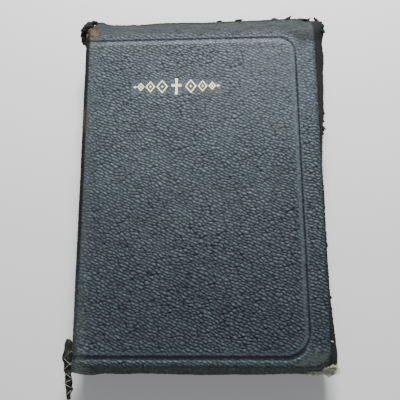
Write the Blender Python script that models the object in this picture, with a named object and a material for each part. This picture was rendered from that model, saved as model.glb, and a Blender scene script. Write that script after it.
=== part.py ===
"""A limp leather bible with yapp edges, made of the pieces that a binder would put together.

The leather of both covers runs past the boards and droops over the page edges (the yapp edge).
Frame: +Z up, +X from the spine to the fore-edge, +Y from the tail to the head. The origin is in
the middle of the rear cover's outer face, which the closed book lies on. Lengths below are in
millimetres, and MM turns them into metres.

The book moves on three lines that run along Y, all in the plane x = HINGE_X where the folds are:
  rear joint   just under the rear cover   the rear cover turns off the rear half
  mid spine    at half the thickness       the front half turns off the rear half
  front joint  just over the front cover   the front cover turns off the front half
The covers stop a little short of that plane, so they pass each other when both are folded round.
"""

import math

import bmesh
import bpy
from mathutils import Vector

MM = 0.001

# Overall
THICKNESS = 30.0
MID_Z = THICKNESS / 2
HINGE_X = -71.0
SPINE_ROUND = 2.5

# Cover panels and their drooping edges
PANEL_FORE_X = 62.0
PANEL_HALF_Y = 93.5
PANEL_CORNER = 7.0
LEATHER = 1.0
FLAP_LEATHER = 1.4
BOARD = 0.7
LINING = 0.4
GAP = 0.1
SIDE_GAP = 0.3
FLAP_LENGTH = 11.0
BEND_RADIUS = 3.5
CORNER_POWER = 8
LINING_MARGIN = 1.6
BOARD_BACK_X = HINGE_X + 5.0
SPINE_TAPER = 16.0
TAPER_STEPS = 5
LINING_BACK_X = HINGE_X + SPINE_TAPER / TAPER_STEPS
COVER_BACK_X = HINGE_X + 0.25

# Text block
PAGE_WIDTH = 128.5
PAGE_HALF_HEIGHT = 92.0
PAGE_CORNER = 9.0
SECTIONS_PER_HALF = 12
SHEET = 0.14
TURNING_LEAVES = 3
FOLD_INSET = 2.6
TEXT_LOW_Z = 3.0
TEXT_HIGH_Z = THICKNESS - TEXT_LOW_Z

# Spine pieces: (offset of the outer face from the spine's curve, offset of the inner face)
SPINE_LOW_Z = 2.2
SPINE_LEATHER_LAYER = (0.0, 1.0)
PAPER_LAYER = (1.1, 1.4)
MULL_LAYER = (1.5, 1.75)
TAPE_LAYER = (1.85, 2.25)
SPINE_HALF_HEIGHT = 98.0
PAPER_HALF_HEIGHT = 90.0
MULL_HALF_HEIGHT = 85.0
TAPE_WIDTH = 10.0
TAPE_STATIONS = {"head": 52.0, "middle": 0.0, "tail": -52.0}
KETTLE_STATION = 78.0
KETTLE_WIDTH = 1.0
ENDBAND_RADIUS = 1.1
ENDBAND_OFFSET = 2.4
ENDBAND_Y = PAGE_HALF_HEIGHT + 1.4
CLOTH = 0.12
CLOTH_REACH = 11.0

# Gilt ornament on the front cover
ORNAMENT_CENTRE = (-17.0, 62.0)
ORNAMENT_HALF_WIDTH = 25.0
FOIL = 0.1
FOIL_LIFT = 0.05

# Joint lines, as (x, z)
JOINT_STANDOFF = 0.3
REAR_JOINT = (HINGE_X, -JOINT_STANDOFF)
MID_SPINE = (HINGE_X, MID_Z)
FRONT_JOINT = (HINGE_X, THICKNESS + JOINT_STANDOFF)

# Colour, roughness, metallic
FINISHES = {
    "cover_leather": ((0.030, 0.036, 0.042), 0.45, 0.0),
    "board_card": ((0.33, 0.27, 0.19), 0.9, 0.0),
    "lining_paper": ((0.018, 0.018, 0.02), 0.7, 0.0),
    "page_paper": ((0.78, 0.70, 0.55), 0.85, 0.0),
    "endpaper": ((0.62, 0.55, 0.42), 0.85, 0.0),
    "linen": ((0.55, 0.49, 0.36), 0.95, 0.0),
    "spine_paper": ((0.36, 0.25, 0.14), 0.9, 0.0),
    "endband_silk": ((0.22, 0.03, 0.03), 0.6, 0.0),
    "worn_leather": ((0.045, 0.038, 0.028), 0.9, 0.0),
    "gilt": ((0.83, 0.62, 0.22), 0.3, 1.0),
}


def clear_scene():
    """Removes whatever the file opened with."""
    for obj in list(bpy.data.objects):
        bpy.data.objects.remove(obj)


def make_materials():
    """One Principled material for each finish."""
    made = {}
    for name, (colour, roughness, metallic) in FINISHES.items():
        material = bpy.data.materials.new(name)
        material.use_nodes = True
        shader = material.node_tree.nodes["Principled BSDF"]
        shader.inputs["Base Color"].default_value = (*colour, 1.0)
        shader.inputs["Roughness"].default_value = roughness
        shader.inputs["Metallic"].default_value = metallic
        made[name] = material
    return made


def body_empty(name, joint):
    """An empty on a joint's line, which the pieces of one moving body hang from."""
    empty = bpy.data.objects.new("body_" + name, None)
    empty.location = (joint[0] * MM, 0.0, joint[1] * MM)
    bpy.context.scene.collection.objects.link(empty)
    return empty


def add_piece(name, mesh_points, faces, material, body, smooth_angle=None):
    """A named object from points in book millimetres, hung from its body's empty.

    Its origin is the empty's, so it lies on the joint's line.
    """
    origin = body.location
    mesh = bpy.data.meshes.new(name)
    points = [Vector(point) * MM - origin for point in mesh_points]
    mesh.from_pydata(points, [], faces)
    mesh.materials.append(material)
    work = bmesh.new()
    work.from_mesh(mesh)
    bmesh.ops.recalc_face_normals(work, faces=work.faces)
    work.to_mesh(mesh)
    work.free()
    if smooth_angle is not None:
        mesh.shade_smooth()
        mesh.set_sharp_from_angle(angle=math.radians(smooth_angle))
    obj = bpy.data.objects.new(name, mesh)
    obj.parent = body
    bpy.context.scene.collection.objects.link(obj)
    return obj


def add_prism(name, outline, low, high, axis, material, body):
    """A closed outline pushed along one axis: "y" for a section across the book, "z" for a sheet."""
    def at(point, level):
        """The outline's point at one level of the axis."""
        return (point[0], level, point[1]) if axis == "y" else (point[0], point[1], level)

    count = len(outline)
    points = [at(p, low) for p in outline] + [at(p, high) for p in outline]
    sides = [(i, (i + 1) % count, (i + 1) % count + count, i + count) for i in range(count)]
    faces = [tuple(range(count))[::-1], tuple(range(count, 2 * count)), *sides]
    return add_piece(name, points, faces, material, body)


def arc_points(centre, radius, start_degrees, end_degrees, steps):
    """Points on an arc, both ends included."""
    found = []
    for i in range(steps + 1):
        angle = math.radians(start_degrees + (end_degrees - start_degrees) * i / steps)
        found.append((centre[0] + radius * math.cos(angle), centre[1] + radius * math.sin(angle)))
    return found


def page_outline(back_x, fore_x, half_height, corner, steps=5):
    """A sheet's outline in plan, square at the spine and round at the fore-edge."""
    low = arc_points((fore_x - corner, corner - half_height), corner, -90, 0, steps)
    high = arc_points((fore_x - corner, half_height - corner), corner, 0, 90, steps)
    return [(back_x, -half_height), *low, *high, (back_x, half_height)]


def spine_x(z):
    """The outside of the rounded spine at height z."""
    share = (z - MID_Z) / (MID_Z - SPINE_LOW_Z)
    return HINGE_X - SPINE_ROUND * (1 - share * share)


def smooth_step(value):
    """0 below 0, 1 above 1, and a smooth rise between."""
    t = min(1.0, max(0.0, value))
    return t * t * (3 - 2 * t)


# ---------------------------------------------------------------- covers

# How far the leather edge turns down, in degrees, and what is left of its length at the spine
FRONT_EDGE = {"head": 28.0, "tail": 62.0, "fore_ends": 42.0, "fore_middle": 85.0, "corner": 27.0}
REAR_EDGE = {"head": 60.0, "tail": 60.0, "fore_ends": 58.0, "fore_middle": 72.0, "corner": 40.0}
FRONT_SPINE_LENGTHS = {"head": 2.5, "tail": 7.5}
REAR_SPINE_LENGTHS = {"head": 7.5, "tail": 7.5}
FORE_WAVE_CENTRE_Y = 10.0
FORE_WAVE_HEAD_REACH = 50.0
FORE_WAVE_TAIL_REACH = 88.0


def side_station(x, side, edge, spine_lengths):
    """Plan point, outward direction, droop angle and leather length on the head or tail edge."""
    sign = 1.0 if side == "head" else -1.0
    along = smooth_step((x - COVER_BACK_X) / SPINE_TAPER)
    length = spine_lengths[side] + (FLAP_LENGTH - spine_lengths[side]) * along
    return (x, sign * PANEL_HALF_Y), (0.0, sign), math.radians(edge[side]) * along, length


def fore_station(y, edge):
    """The same on the fore-edge, which hangs steeper in the middle than at its ends."""
    from_centre = y - FORE_WAVE_CENTRE_Y
    reach = FORE_WAVE_HEAD_REACH if from_centre > 0 else FORE_WAVE_TAIL_REACH
    away = smooth_step(abs(from_centre) / reach)
    angle = edge["fore_middle"] + (edge["fore_ends"] - edge["fore_middle"]) * away
    return (PANEL_FORE_X, y), (1.0, 0.0), math.radians(angle), FLAP_LENGTH


def flap_reach(angle, length):
    """How far out a strip of leather of this length ends, bent down by this angle."""
    straight = length - BEND_RADIUS * angle
    return BEND_RADIUS * math.sin(angle) + straight * math.cos(angle)


def corner_station(turn_degrees, sign, edge):
    """The same at a fore-edge corner, whose leather is cut nearly square.

    turn_degrees is 0 on the fore-edge side and 90 on the head or tail side.
    """
    turn = math.radians(turn_degrees)
    side = "head" if sign > 0 else "tail"
    share = turn_degrees / 90
    side_angle = math.radians(edge["fore_ends"] * (1 - share) + edge[side] * share)
    apex = math.sin(2 * turn)
    angle = side_angle + (math.radians(edge["corner"]) - side_angle) * apex
    fore_reach = flap_reach(math.radians(edge["fore_ends"]), FLAP_LENGTH)
    side_reach = flap_reach(math.radians(edge[side]), FLAP_LENGTH)
    radius = PANEL_CORNER + fore_reach * (1 - share) + side_reach * share
    squareness = (math.cos(turn) ** CORNER_POWER + math.sin(turn) ** CORNER_POWER) ** (1 / CORNER_POWER)
    reach = radius / squareness - PANEL_CORNER
    length = BEND_RADIUS * angle + (reach - BEND_RADIUS * math.sin(angle)) / math.cos(angle)
    direction = (math.cos(turn), sign * math.sin(turn))
    centre = (PANEL_FORE_X - PANEL_CORNER, sign * (PANEL_HALF_Y - PANEL_CORNER))
    point = (centre[0] + PANEL_CORNER * direction[0], centre[1] + PANEL_CORNER * direction[1])
    return point, direction, angle, length


def cover_stations(back_x, edge, spine_lengths):
    """Stations round the cover from the spine's tail end to its head end."""
    corner_x = PANEL_FORE_X - PANEL_CORNER
    side_steps, corner_steps, fore_steps = 4, 6, 16
    taper_end = HINGE_X + SPINE_TAPER
    xs = [COVER_BACK_X]
    xs += [HINGE_X + SPINE_TAPER * i / TAPER_STEPS for i in range(1, TAPER_STEPS)]
    xs += [taper_end + (corner_x - taper_end) * i / side_steps for i in range(side_steps)]
    xs = [x for x in xs if x > back_x - GAP]
    stations = [side_station(x, "tail", edge, spine_lengths) for x in xs]
    stations += [corner_station(90 - 90 * i / corner_steps, -1, edge) for i in range(corner_steps)]
    fore_half = PANEL_HALF_Y - PANEL_CORNER
    stations += [
        fore_station(-fore_half + 2 * fore_half * i / fore_steps, edge) for i in range(fore_steps)
    ]
    stations += [corner_station(90 * i / corner_steps, 1, edge) for i in range(corner_steps)]
    stations += [side_station(x, "head", edge, spine_lengths) for x in [corner_x, *xs[::-1]]]
    return stations


def flap_profile(angle, length, offset):
    """(out, down) points of the drooping edge, offset inwards from the leather's outer face."""
    bend_steps, straight_steps = 4, 2
    found = []
    for i in range(bend_steps + 1):
        turn = angle * i / bend_steps
        found.append(
            (
                (BEND_RADIUS - offset) * math.sin(turn),
                BEND_RADIUS - (BEND_RADIUS - offset) * math.cos(turn),
            )
        )
    straight = max(length - BEND_RADIUS * angle, 0.5)
    out, down = found[-1]
    for i in range(1, straight_steps + 1):
        run = straight * i / straight_steps
        found.append((out + run * math.cos(angle), down + run * math.sin(angle)))
    return found


def cover_shell(name, back_x, outer, inner, flap_inner, trim, edge, lengths, front, material, body):
    """A shallow tray: a flat panel whose three free edges droop, open at the spine.

    outer, inner and flap_inner are depths below the leather's outer face, and trim shortens the
    drooping edge. Where flap_inner is deeper than inner, the panel has a recess for the board.
    """
    def height(down):
        """Z of a depth below the cover's outer face."""
        return THICKNESS - down if front else down

    points, rings = [], []
    for (x, y), (nx, ny), angle, length in cover_stations(back_x, edge, lengths):
        profile = flap_profile(angle, length - trim, outer)
        profile += flap_profile(angle, length - trim, flap_inner)[::-1]
        if inner != flap_inner:
            profile.append((0.0, inner))
        rings.append(range(len(points), len(points) + len(profile)))
        points += [(x + nx * out, y + ny * out, height(down)) for out, down in profile]
    faces = []
    for one, two in zip(rings, rings[1:]):
        faces += [(one[k], one[k + 1], two[k + 1], two[k]) for k in range(len(one) - 1)]
    faces.append(tuple(ring[0] for ring in rings))
    faces.append(tuple(ring[-1] for ring in rings)[::-1])
    faces.append((*rings[0], *list(rings[-1])[::-1]))
    return add_piece(name, points, faces, material, body, smooth_angle=35)


def build_cover(which, material, body):
    """Leather, board and lining of the front or the rear cover."""
    front = which == "front"
    edge = FRONT_EDGE if front else REAR_EDGE
    lengths = FRONT_SPINE_LENGTHS if front else REAR_SPINE_LENGTHS
    cover_shell(
        which + "_cover_leather", COVER_BACK_X, 0.0, LEATHER, FLAP_LEATHER, 0.0,
        edge, lengths, front, material["cover_leather"], body,
    )
    lining_depth = LEATHER + GAP + BOARD + GAP
    cover_shell(
        which + "_cover_lining", LINING_BACK_X, lining_depth, lining_depth + LINING,
        lining_depth + LINING, LINING_MARGIN, edge, lengths, front, material["lining_paper"], body,
    )
    outline = page_outline(
        BOARD_BACK_X, PANEL_FORE_X - SIDE_GAP, PANEL_HALF_Y - SIDE_GAP, PANEL_CORNER - SIDE_GAP
    )
    near, far = LEATHER + GAP, LEATHER + GAP + BOARD
    low, high = (THICKNESS - far, THICKNESS - near) if front else (near, far)
    add_prism(which + "_board", outline, low, high, "z", material["board_card"], body)


def ornament_half_outline():
    """Upper and lower edge of the right half of the gilt ornament: a cross, then lozenges on a rule."""
    rule, bar, top, arm_low, arm_high, arm_end = 0.25, 0.8, 4.6, 0.5, 2.1, 3.2
    upper = [(0.0, top), (bar, top), (bar, arm_high), (arm_end, arm_high), (arm_end, rule)]
    lower = [(0.0, -top), (bar, -top), (bar, -rule), (arm_end, -rule)]
    lozenges = [(7.5, 2.4, 2.0), (13.0, 2.0, 1.6), (17.8, 1.7, 1.3), (21.8, 1.3, 1.0)]
    for centre, half_width, half_height in lozenges:
        outline = [(centre - half_width, rule), (centre, half_height), (centre + half_width, rule)]
        upper += outline
        lower += [(x, -y) for x, y in outline]
    upper.append((ORNAMENT_HALF_WIDTH, 0.1))
    lower.append((ORNAMENT_HALF_WIDTH, -0.1))
    return upper, lower


def build_ornament(material, body):
    """The gold-foil ornament stamped on the front cover, in one connected outline."""
    upper, lower = ornament_half_outline()
    right = upper[1:] + lower[:0:-1]
    outline = [(0.0, upper[0][1]), *right, (0.0, lower[0][1]), *[(-x, y) for x, y in right[::-1]]]
    outline = [(x + ORNAMENT_CENTRE[0], y + ORNAMENT_CENTRE[1]) for x, y in outline]
    low = THICKNESS + FOIL_LIFT
    add_prism("gilt_ornament", outline, low, low + FOIL, "z", material["gilt"], body)


# ------------------------------------------------------------- text block

def build_section(number, low, high, material, body):
    """One sewn gathering of leaves: round at its fold and at its two fore-edge corners."""
    back = spine_x((low + high) / 2) + FOLD_INSET
    outline = page_outline(back, back + PAGE_WIDTH, PAGE_HALF_HEIGHT, PAGE_CORNER)
    name = f"section_{number:02d}"
    obj = add_prism(name, outline, low, high, "z", material["page_paper"], body)
    fold_radius = (high - low) * 0.45
    work = bmesh.new()
    work.from_mesh(obj.data)
    fold_x = min(vert.co.x for vert in work.verts)
    level = 1e-6
    folds = [
        e
        for e in work.edges
        if all(v.co.x < fold_x + level for v in e.verts)
        and abs(e.verts[0].co.z - e.verts[1].co.z) < level
    ]
    bmesh.ops.bevel(
        work, geom=folds, offset=fold_radius * MM, segments=2, affect="EDGES", profile=0.5
    )
    work.to_mesh(obj.data)
    work.free()
    obj.data.shade_smooth()
    obj.data.set_sharp_from_angle(angle=math.radians(35))


def build_half(low, high, first_number, material, body):
    """The gatherings of one half of the text block, numbered from the front of the book down."""
    pitch = (high - low) / SECTIONS_PER_HALF
    for i in range(SECTIONS_PER_HALF):
        top = high - pitch * i
        build_section(first_number + i, top - pitch + GAP, top, material, body)


def build_sheet(name, low, material, body):
    """A single leaf."""
    back = spine_x(low) + FOLD_INSET
    outline = page_outline(back, back + PAGE_WIDTH, PAGE_HALF_HEIGHT, PAGE_CORNER)
    add_prism(name, outline, low, low + SHEET, "z", material, body)


# ------------------------------------------------------------------ spine

def spine_outline(layer, low, high, steps=12):
    """A layer of the spine seen along Y: a thin strip that follows the round."""
    zs = [low + (high - low) * i / steps for i in range(steps + 1)]
    outer = [(spine_x(z) + layer[0], z) for z in zs]
    inner = [(spine_x(z) + layer[1], z) for z in zs]
    return outer + inner[::-1]


def build_spine_strip(name, layer, low_y, high_y, low_z, material, body):
    """A strip of one spine layer from low_y to high_y."""
    outline = spine_outline(layer, low_z, THICKNESS - low_z)
    obj = add_prism(name, outline, low_y, high_y, "y", material, body)
    obj.data.shade_smooth()
    obj.data.set_sharp_from_angle(angle=math.radians(35))


def build_endband(name, y, material, body):
    """The woven band that caps the sections' folds at the head or the tail, as a bevelled curve."""
    steps = 14
    margin = 0.8
    low, high = TEXT_LOW_Z + margin, TEXT_HIGH_Z - margin
    curve = bpy.data.curves.new(name, "CURVE")
    curve.dimensions = "3D"
    curve.bevel_depth = ENDBAND_RADIUS * MM
    curve.bevel_resolution = 2
    curve.use_fill_caps = True
    spline = curve.splines.new("POLY")
    spline.points.add(steps)
    for i, point in enumerate(spline.points):
        z = low + (high - low) * i / steps
        place = Vector((spine_x(z) + ENDBAND_OFFSET, y, z)) * MM - body.location
        point.co = (*place, 1.0)
    curve.materials.append(material)
    obj = bpy.data.objects.new(name, curve)
    obj.parent = body
    bpy.context.scene.collection.objects.link(obj)


def build_hinge_cloth(which, material, body):
    """A cloth strip folded in two, from the lining to the fly-leaf, that ties cover to text block."""
    front = which == "front"
    near = LEATHER + BOARD + LINING + 3 * GAP
    between = 0.06
    depths = [near, near + CLOTH, near + CLOTH + between, near + 2 * CLOTH + between]
    back = HINGE_X + 2.2
    fore = back + CLOTH_REACH
    zs = [THICKNESS - d if front else d for d in depths]
    outline = [
        (fore, zs[0]), (back, zs[0]), (back, zs[3]), (fore, zs[3]),
        (fore, zs[2]), (back + CLOTH, zs[2]), (back + CLOTH, zs[1]), (fore, zs[1]),
    ]
    name = which + "_hinge_cloth"
    add_prism(name, outline, -MULL_HALF_HEIGHT, MULL_HALF_HEIGHT, "y", material, body)


def lofted_rag(name, sections, material, body):
    """A closed strip through four-cornered sections, for torn leather."""
    points = [corner for section in sections for corner in section]
    faces = [(0, 1, 2, 3), tuple(len(points) - 4 + k for k in (3, 2, 1, 0))]
    for i in range(len(sections) - 1):
        for k in range(4):
            here, there = 4 * i + k, 4 * i + (k + 1) % 4
            faces.append((here, there, there + 4, here + 4))
    return add_piece(name, points, faces, material, body, smooth_angle=50)


def build_torn_tail_strip(material, body):
    """A strip of spine leather, torn loose at the tail and hanging past it."""
    steps = 9
    start_y, length = -82.0, 32.0
    width, thick = 4.4, 1.4
    sections = []
    for i in range(steps + 1):
        t = i / steps
        y = start_y - length * t
        right = HINGE_X - SPINE_ROUND - 0.4 - 0.8 * math.sin(3.0 * t)
        half_taper = 0.55 + 0.45 * math.sin(math.pi * min(1.0, 0.15 + 0.9 * t))
        left = right - width * half_taper
        z = 24.0 - 4.0 * t + 0.8 * math.sin(7.0 * t)
        sections.append([(left, y, z), (right, y, z), (right, y, z + thick), (left, y, z + thick)])
    lofted_rag("torn_tail_strip", sections, material, body)


def build_torn_headcap(material, body):
    """The crumpled rag of leather left where the cap at the spine's head has torn away."""
    steps = 8
    sections = []
    for i in range(steps + 1):
        t = i / steps
        turn = math.radians(-10 + 110 * t)
        centre_x = HINGE_X - 0.6 + 3.0 * math.sin(turn)
        centre_y = 97.2 + 3.6 * math.sin(2.2 * t)
        z = 10.0 + 15.5 * t
        reach = 2.4 + 0.7 * math.sin(9.0 * t)
        across = 2.2 + 0.8 * math.cos(7.0 * t)
        sections.append(
            [
                (centre_x - across, centre_y - reach * 0.4, z),
                (centre_x + across, centre_y - reach * 0.4, z + 0.4),
                (centre_x + across, centre_y + reach, z + 1.2),
                (centre_x - across, centre_y + reach, z + 0.8),
            ]
        )
    lofted_rag("torn_headcap", sections, material, body)


def build_spine(material, body):
    """Everything glued and sewn over the folds of the sections."""
    linen = material["linen"]
    build_spine_strip(
        "spine_leather", SPINE_LEATHER_LAYER, -SPINE_HALF_HEIGHT, PANEL_HALF_Y,
        SPINE_LOW_Z, material["cover_leather"], body,
    )
    build_spine_strip(
        "spine_paper_lining", PAPER_LAYER, -PAPER_HALF_HEIGHT, PAPER_HALF_HEIGHT,
        TEXT_LOW_Z, material["spine_paper"], body,
    )
    build_spine_strip(
        "spine_mull", MULL_LAYER, -MULL_HALF_HEIGHT, MULL_HALF_HEIGHT, TEXT_LOW_Z, linen, body
    )
    for place, y in TAPE_STATIONS.items():
        build_spine_strip(
            "sewing_tape_" + place, TAPE_LAYER, y - TAPE_WIDTH / 2, y + TAPE_WIDTH / 2,
            TEXT_LOW_Z, linen, body,
        )
    for place, sign in {"head": 1, "tail": -1}.items():
        y = sign * KETTLE_STATION
        build_spine_strip(
            "kettle_stitch_" + place, TAPE_LAYER, y - KETTLE_WIDTH / 2, y + KETTLE_WIDTH / 2,
            TEXT_LOW_Z, linen, body,
        )
        band = "headband" if place == "head" else "tailband"
        build_endband(band, sign * ENDBAND_Y, material["endband_silk"], body)
    build_torn_tail_strip(material["worn_leather"], body)
    build_torn_headcap(material["worn_leather"], body)


def main():
    """Builds the whole book, body by body, from the table up."""
    clear_scene()
    material = make_materials()

    rear_cover = body_empty("rear_cover", REAR_JOINT)
    build_cover("rear", material, rear_cover)

    fly_gap = LEATHER + BOARD + LINING + 3 * GAP + 2 * CLOTH + 0.06 + 0.06
    rear_fly = body_empty("rear_flyleaf", REAR_JOINT)
    build_sheet("rear_flyleaf", fly_gap, material["endpaper"], rear_fly)

    rear_half = body_empty("rear_half", REAR_JOINT)
    leaf_pitch = SHEET + GAP
    leaves_half = (TURNING_LEAVES * leaf_pitch + GAP) / 2
    first_rear = SECTIONS_PER_HALF + 1
    build_half(TEXT_LOW_Z, MID_Z - leaves_half, first_rear, material, rear_half)
    build_spine(material, rear_half)
    build_hinge_cloth("rear", material["linen"], rear_half)

    for i in range(TURNING_LEAVES):
        leaf = body_empty(f"leaf_{i + 1}", MID_SPINE)
        low = MID_Z - leaves_half + GAP + leaf_pitch * i
        build_sheet(f"turning_leaf_{i + 1}", low, material["page_paper"], leaf)

    front_half = body_empty("front_half", MID_SPINE)
    build_half(MID_Z + leaves_half - GAP, TEXT_HIGH_Z, 1, material, front_half)
    build_hinge_cloth("front", material["linen"], front_half)

    front_fly = body_empty("front_flyleaf", FRONT_JOINT)
    build_sheet("front_flyleaf", THICKNESS - fly_gap - SHEET, material["endpaper"], front_fly)

    front_cover = body_empty("front_cover", FRONT_JOINT)
    build_cover("front", material, front_cover)
    build_ornament(material, front_cover)


main()
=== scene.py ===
"""Dresses the limp leather bible: worn pebble-grain covers with yapp edges, spine, leaves and ornament.

Everything is in the row frame: +X from the spine to the fore-edge, +Y from the tail to the head, +Z up.
Lengths in this file are millimetres unless a name ends in _m, and MM turns them into metres.
"""

import logging
import math
from dataclasses import dataclass, field
from enum import Enum
from typing import Callable, Sequence

import bpy
import numpy as np
from mathutils import Euler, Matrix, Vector


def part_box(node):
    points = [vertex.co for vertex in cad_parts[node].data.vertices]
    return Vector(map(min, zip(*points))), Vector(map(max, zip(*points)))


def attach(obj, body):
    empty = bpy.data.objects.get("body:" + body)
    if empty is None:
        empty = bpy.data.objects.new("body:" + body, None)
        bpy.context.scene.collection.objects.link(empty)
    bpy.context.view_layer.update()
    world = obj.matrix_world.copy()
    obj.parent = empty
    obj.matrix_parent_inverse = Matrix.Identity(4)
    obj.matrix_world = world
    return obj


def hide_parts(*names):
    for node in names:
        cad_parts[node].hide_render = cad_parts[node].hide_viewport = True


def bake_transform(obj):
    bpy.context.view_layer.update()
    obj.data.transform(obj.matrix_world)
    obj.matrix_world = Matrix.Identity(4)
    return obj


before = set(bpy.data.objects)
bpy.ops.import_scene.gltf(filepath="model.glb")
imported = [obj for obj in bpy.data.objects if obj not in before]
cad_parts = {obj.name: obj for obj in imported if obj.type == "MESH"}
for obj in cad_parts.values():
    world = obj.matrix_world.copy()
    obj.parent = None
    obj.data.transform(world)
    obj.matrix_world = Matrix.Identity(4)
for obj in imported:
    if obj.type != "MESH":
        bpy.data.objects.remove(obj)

LOG = logging.getLogger("bible")
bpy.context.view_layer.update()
MM = 0.001

Array = np.ndarray
Colour = tuple[float, float, float]
Shape = tuple[Array, list]
Material = bpy.types.Material
Socket = bpy.types.NodeSocket
Tree = bpy.types.NodeTree
Node = bpy.types.Node
Piece = bpy.types.Object

# Shared sizes of the binding
THICKNESS = 30.0
MID_Z = THICKNESS / 2
HINGE_X = -71.0
PANEL_HALF_Y = 93.5
STAMP_CENTRE = (-16.6, 61.0)
SPINE_DRIFT = 0.65
TINY = 1e-9


class Side(Enum):
    """Which cover a piece belongs to."""

    FRONT = "front"
    REAR = "rear"


class End(Enum):
    """The two ends of the spine, with their sign along Y."""

    HEAD = 1.0
    TAIL = -1.0


# --- numbers


def ease(value: Array | float) -> Array:
    """0 below 0, 1 above 1, and a smooth rise between."""
    t = np.clip(value, 0.0, 1.0)
    return t * t * (3 - 2 * t)


def bell(value: Array | float, width: float) -> Array:
    """1 at 0, falling off over width on both sides."""
    return np.exp(-((np.asarray(value) / width) ** 2))


@dataclass(frozen=True)
class Swell:
    """A rise or a dip along an edge: how much, where its middle is, and how wide it is."""

    amount: float
    middle: float
    width: float

    def at(self, place: Array) -> Array:
        """Its share of the rise at each place."""
        return self.amount * bell(place - self.middle, self.width)


class Noise:
    """Smooth seeded noise over a plane, from -1 to 1."""

    SIZE = 256
    LAYER_SHIFT = (17.3, 9.1)
    LAYER_SUM = 1.75

    def __init__(self, seed: int) -> None:
        """Fills the lattice from the seed."""
        self.lattice = np.random.default_rng(seed).uniform(-1.0, 1.0, (self.SIZE, self.SIZE))

    def at(self, u: Array, v: Array, pitch: float) -> Array:
        """Noise with features about pitch apart.

        Args:
            u, v: positions.
            pitch: spacing of the lattice, in the units of u and v.

        Returns:
            One value for each position.
        """
        x, y = np.asarray(u, float) / pitch, np.asarray(v, float) / pitch
        ix, iy = np.floor(x).astype(int), np.floor(y).astype(int)
        fx, fy = ease(x - ix), ease(y - iy)
        n = self.SIZE
        around = ((0, 0), (1, 0), (0, 1), (1, 1))
        corners = [self.lattice[(ix + a) % n, (iy + b) % n] for a, b in around]
        low = corners[0] + (corners[1] - corners[0]) * fx
        high = corners[2] + (corners[3] - corners[2]) * fx
        return low + (high - low) * fy

    def layered(self, u: Array, v: Array, pitch: float, octaves: int = 3) -> Array:
        """Noise with finer and weaker layers on top of the first.

        Args:
            u, v: flat positions.
            pitch: spacing of the coarsest layer.
            octaves: how many layers.

        Returns:
            One value for each position.
        """
        total = np.zeros(np.broadcast(u, v).shape)
        shift_u, shift_v = self.LAYER_SHIFT
        for k in range(octaves):
            total = total + self.at(u + shift_u * k, v - shift_v * k, pitch / 2**k) / 2**k
        return total / self.LAYER_SUM


def spine_drift(v: Array | float) -> Array:
    """The back is worn askew: it stands further out at the tail than at the head."""
    return SPINE_DRIFT * np.asarray(v) / PANEL_HALF_Y


@dataclass
class Pebbles:
    """The boarded grain of the leather: pebbles that hang together in slanting rows.

    The creases between rows are deep, and those between neighbours in one row are shallow.
    """

    seed: int = 5
    long_pitch: float = 2.6
    short_pitch: float = 1.6
    slant_degrees: float = -24.0
    jitter: float = 0.74
    crease: float = 0.22
    row_link: float = 0.62
    lowest_top: float = 0.7
    dome_fall: float = 1.1
    dome_floor: float = 0.3
    dome_share: float = 0.38
    wrinkle: float = 0.5
    cells: int = 128

    def relief(self, u: Array, v: Array) -> Array:
        """Height of the grain, 0 in a crease and 1 on top of a pebble.

        Args:
            u, v: flat positions on the leather.

        Returns:
            One height for each position.
        """
        n = self.cells
        rng = np.random.default_rng(self.seed)
        shift = rng.uniform(0.5 - self.jitter / 2, 0.5 + self.jitter / 2, (2, n, n))
        lift = rng.uniform(self.lowest_top, 1.0, (n, n))
        row_shift = rng.uniform(-0.5, 0.5, n)
        warp = Noise(self.seed + 1)
        u, v = u + 0.6 * warp.at(u, v, 7.0), v + 0.9 * warp.at(v, u, 9.0)
        turn = math.radians(self.slant_degrees)
        x = (u * math.cos(turn) + v * math.sin(turn)) / self.long_pitch
        y = (v * math.cos(turn) - u * math.sin(turn)) / self.short_pitch
        row = np.floor(y).astype(int)
        first, second = np.full(x.shape, 9.0), np.full(x.shape, 9.0)
        first_row, second_row = np.zeros(x.shape, int), np.zeros(x.shape, int)
        top = np.zeros(x.shape)
        for dy in (-1, 0, 1):
            iy = (row + dy) % n
            along = x - row_shift[iy]
            column = np.floor(along).astype(int)
            for dx in (-1, 0, 1):
                ix = (column + dx) % n
                away_x = column + dx + shift[0, ix, iy] - along
                away = np.hypot(away_x, row + dy + shift[1, ix, iy] - y)
                nearer, next_near = away < first, away < second
                second_row = np.where(nearer, first_row, np.where(next_near, row + dy, second_row))
                second = np.where(nearer, first, np.where(next_near, away, second))
                first_row = np.where(nearer, row + dy, first_row)
                top = np.where(nearer, lift[ix, iy], top)
                first = np.where(nearer, away, first)
        wall = ease((second - first) / (2 * self.crease))
        linked = self.row_link + (1 - self.row_link) * wall
        wall = np.where(first_row == second_row, linked, wall)
        dome = np.clip(1.0 - self.dome_fall * first**2, self.dome_floor, 1.0)
        wrinkle = 1 - self.wrinkle * np.abs(warp.layered(u * 1.2, v * 1.6, 1.5))
        return top * wall * (1 - self.dome_share + self.dome_share * dome) * wrinkle


# --- meshes


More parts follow.
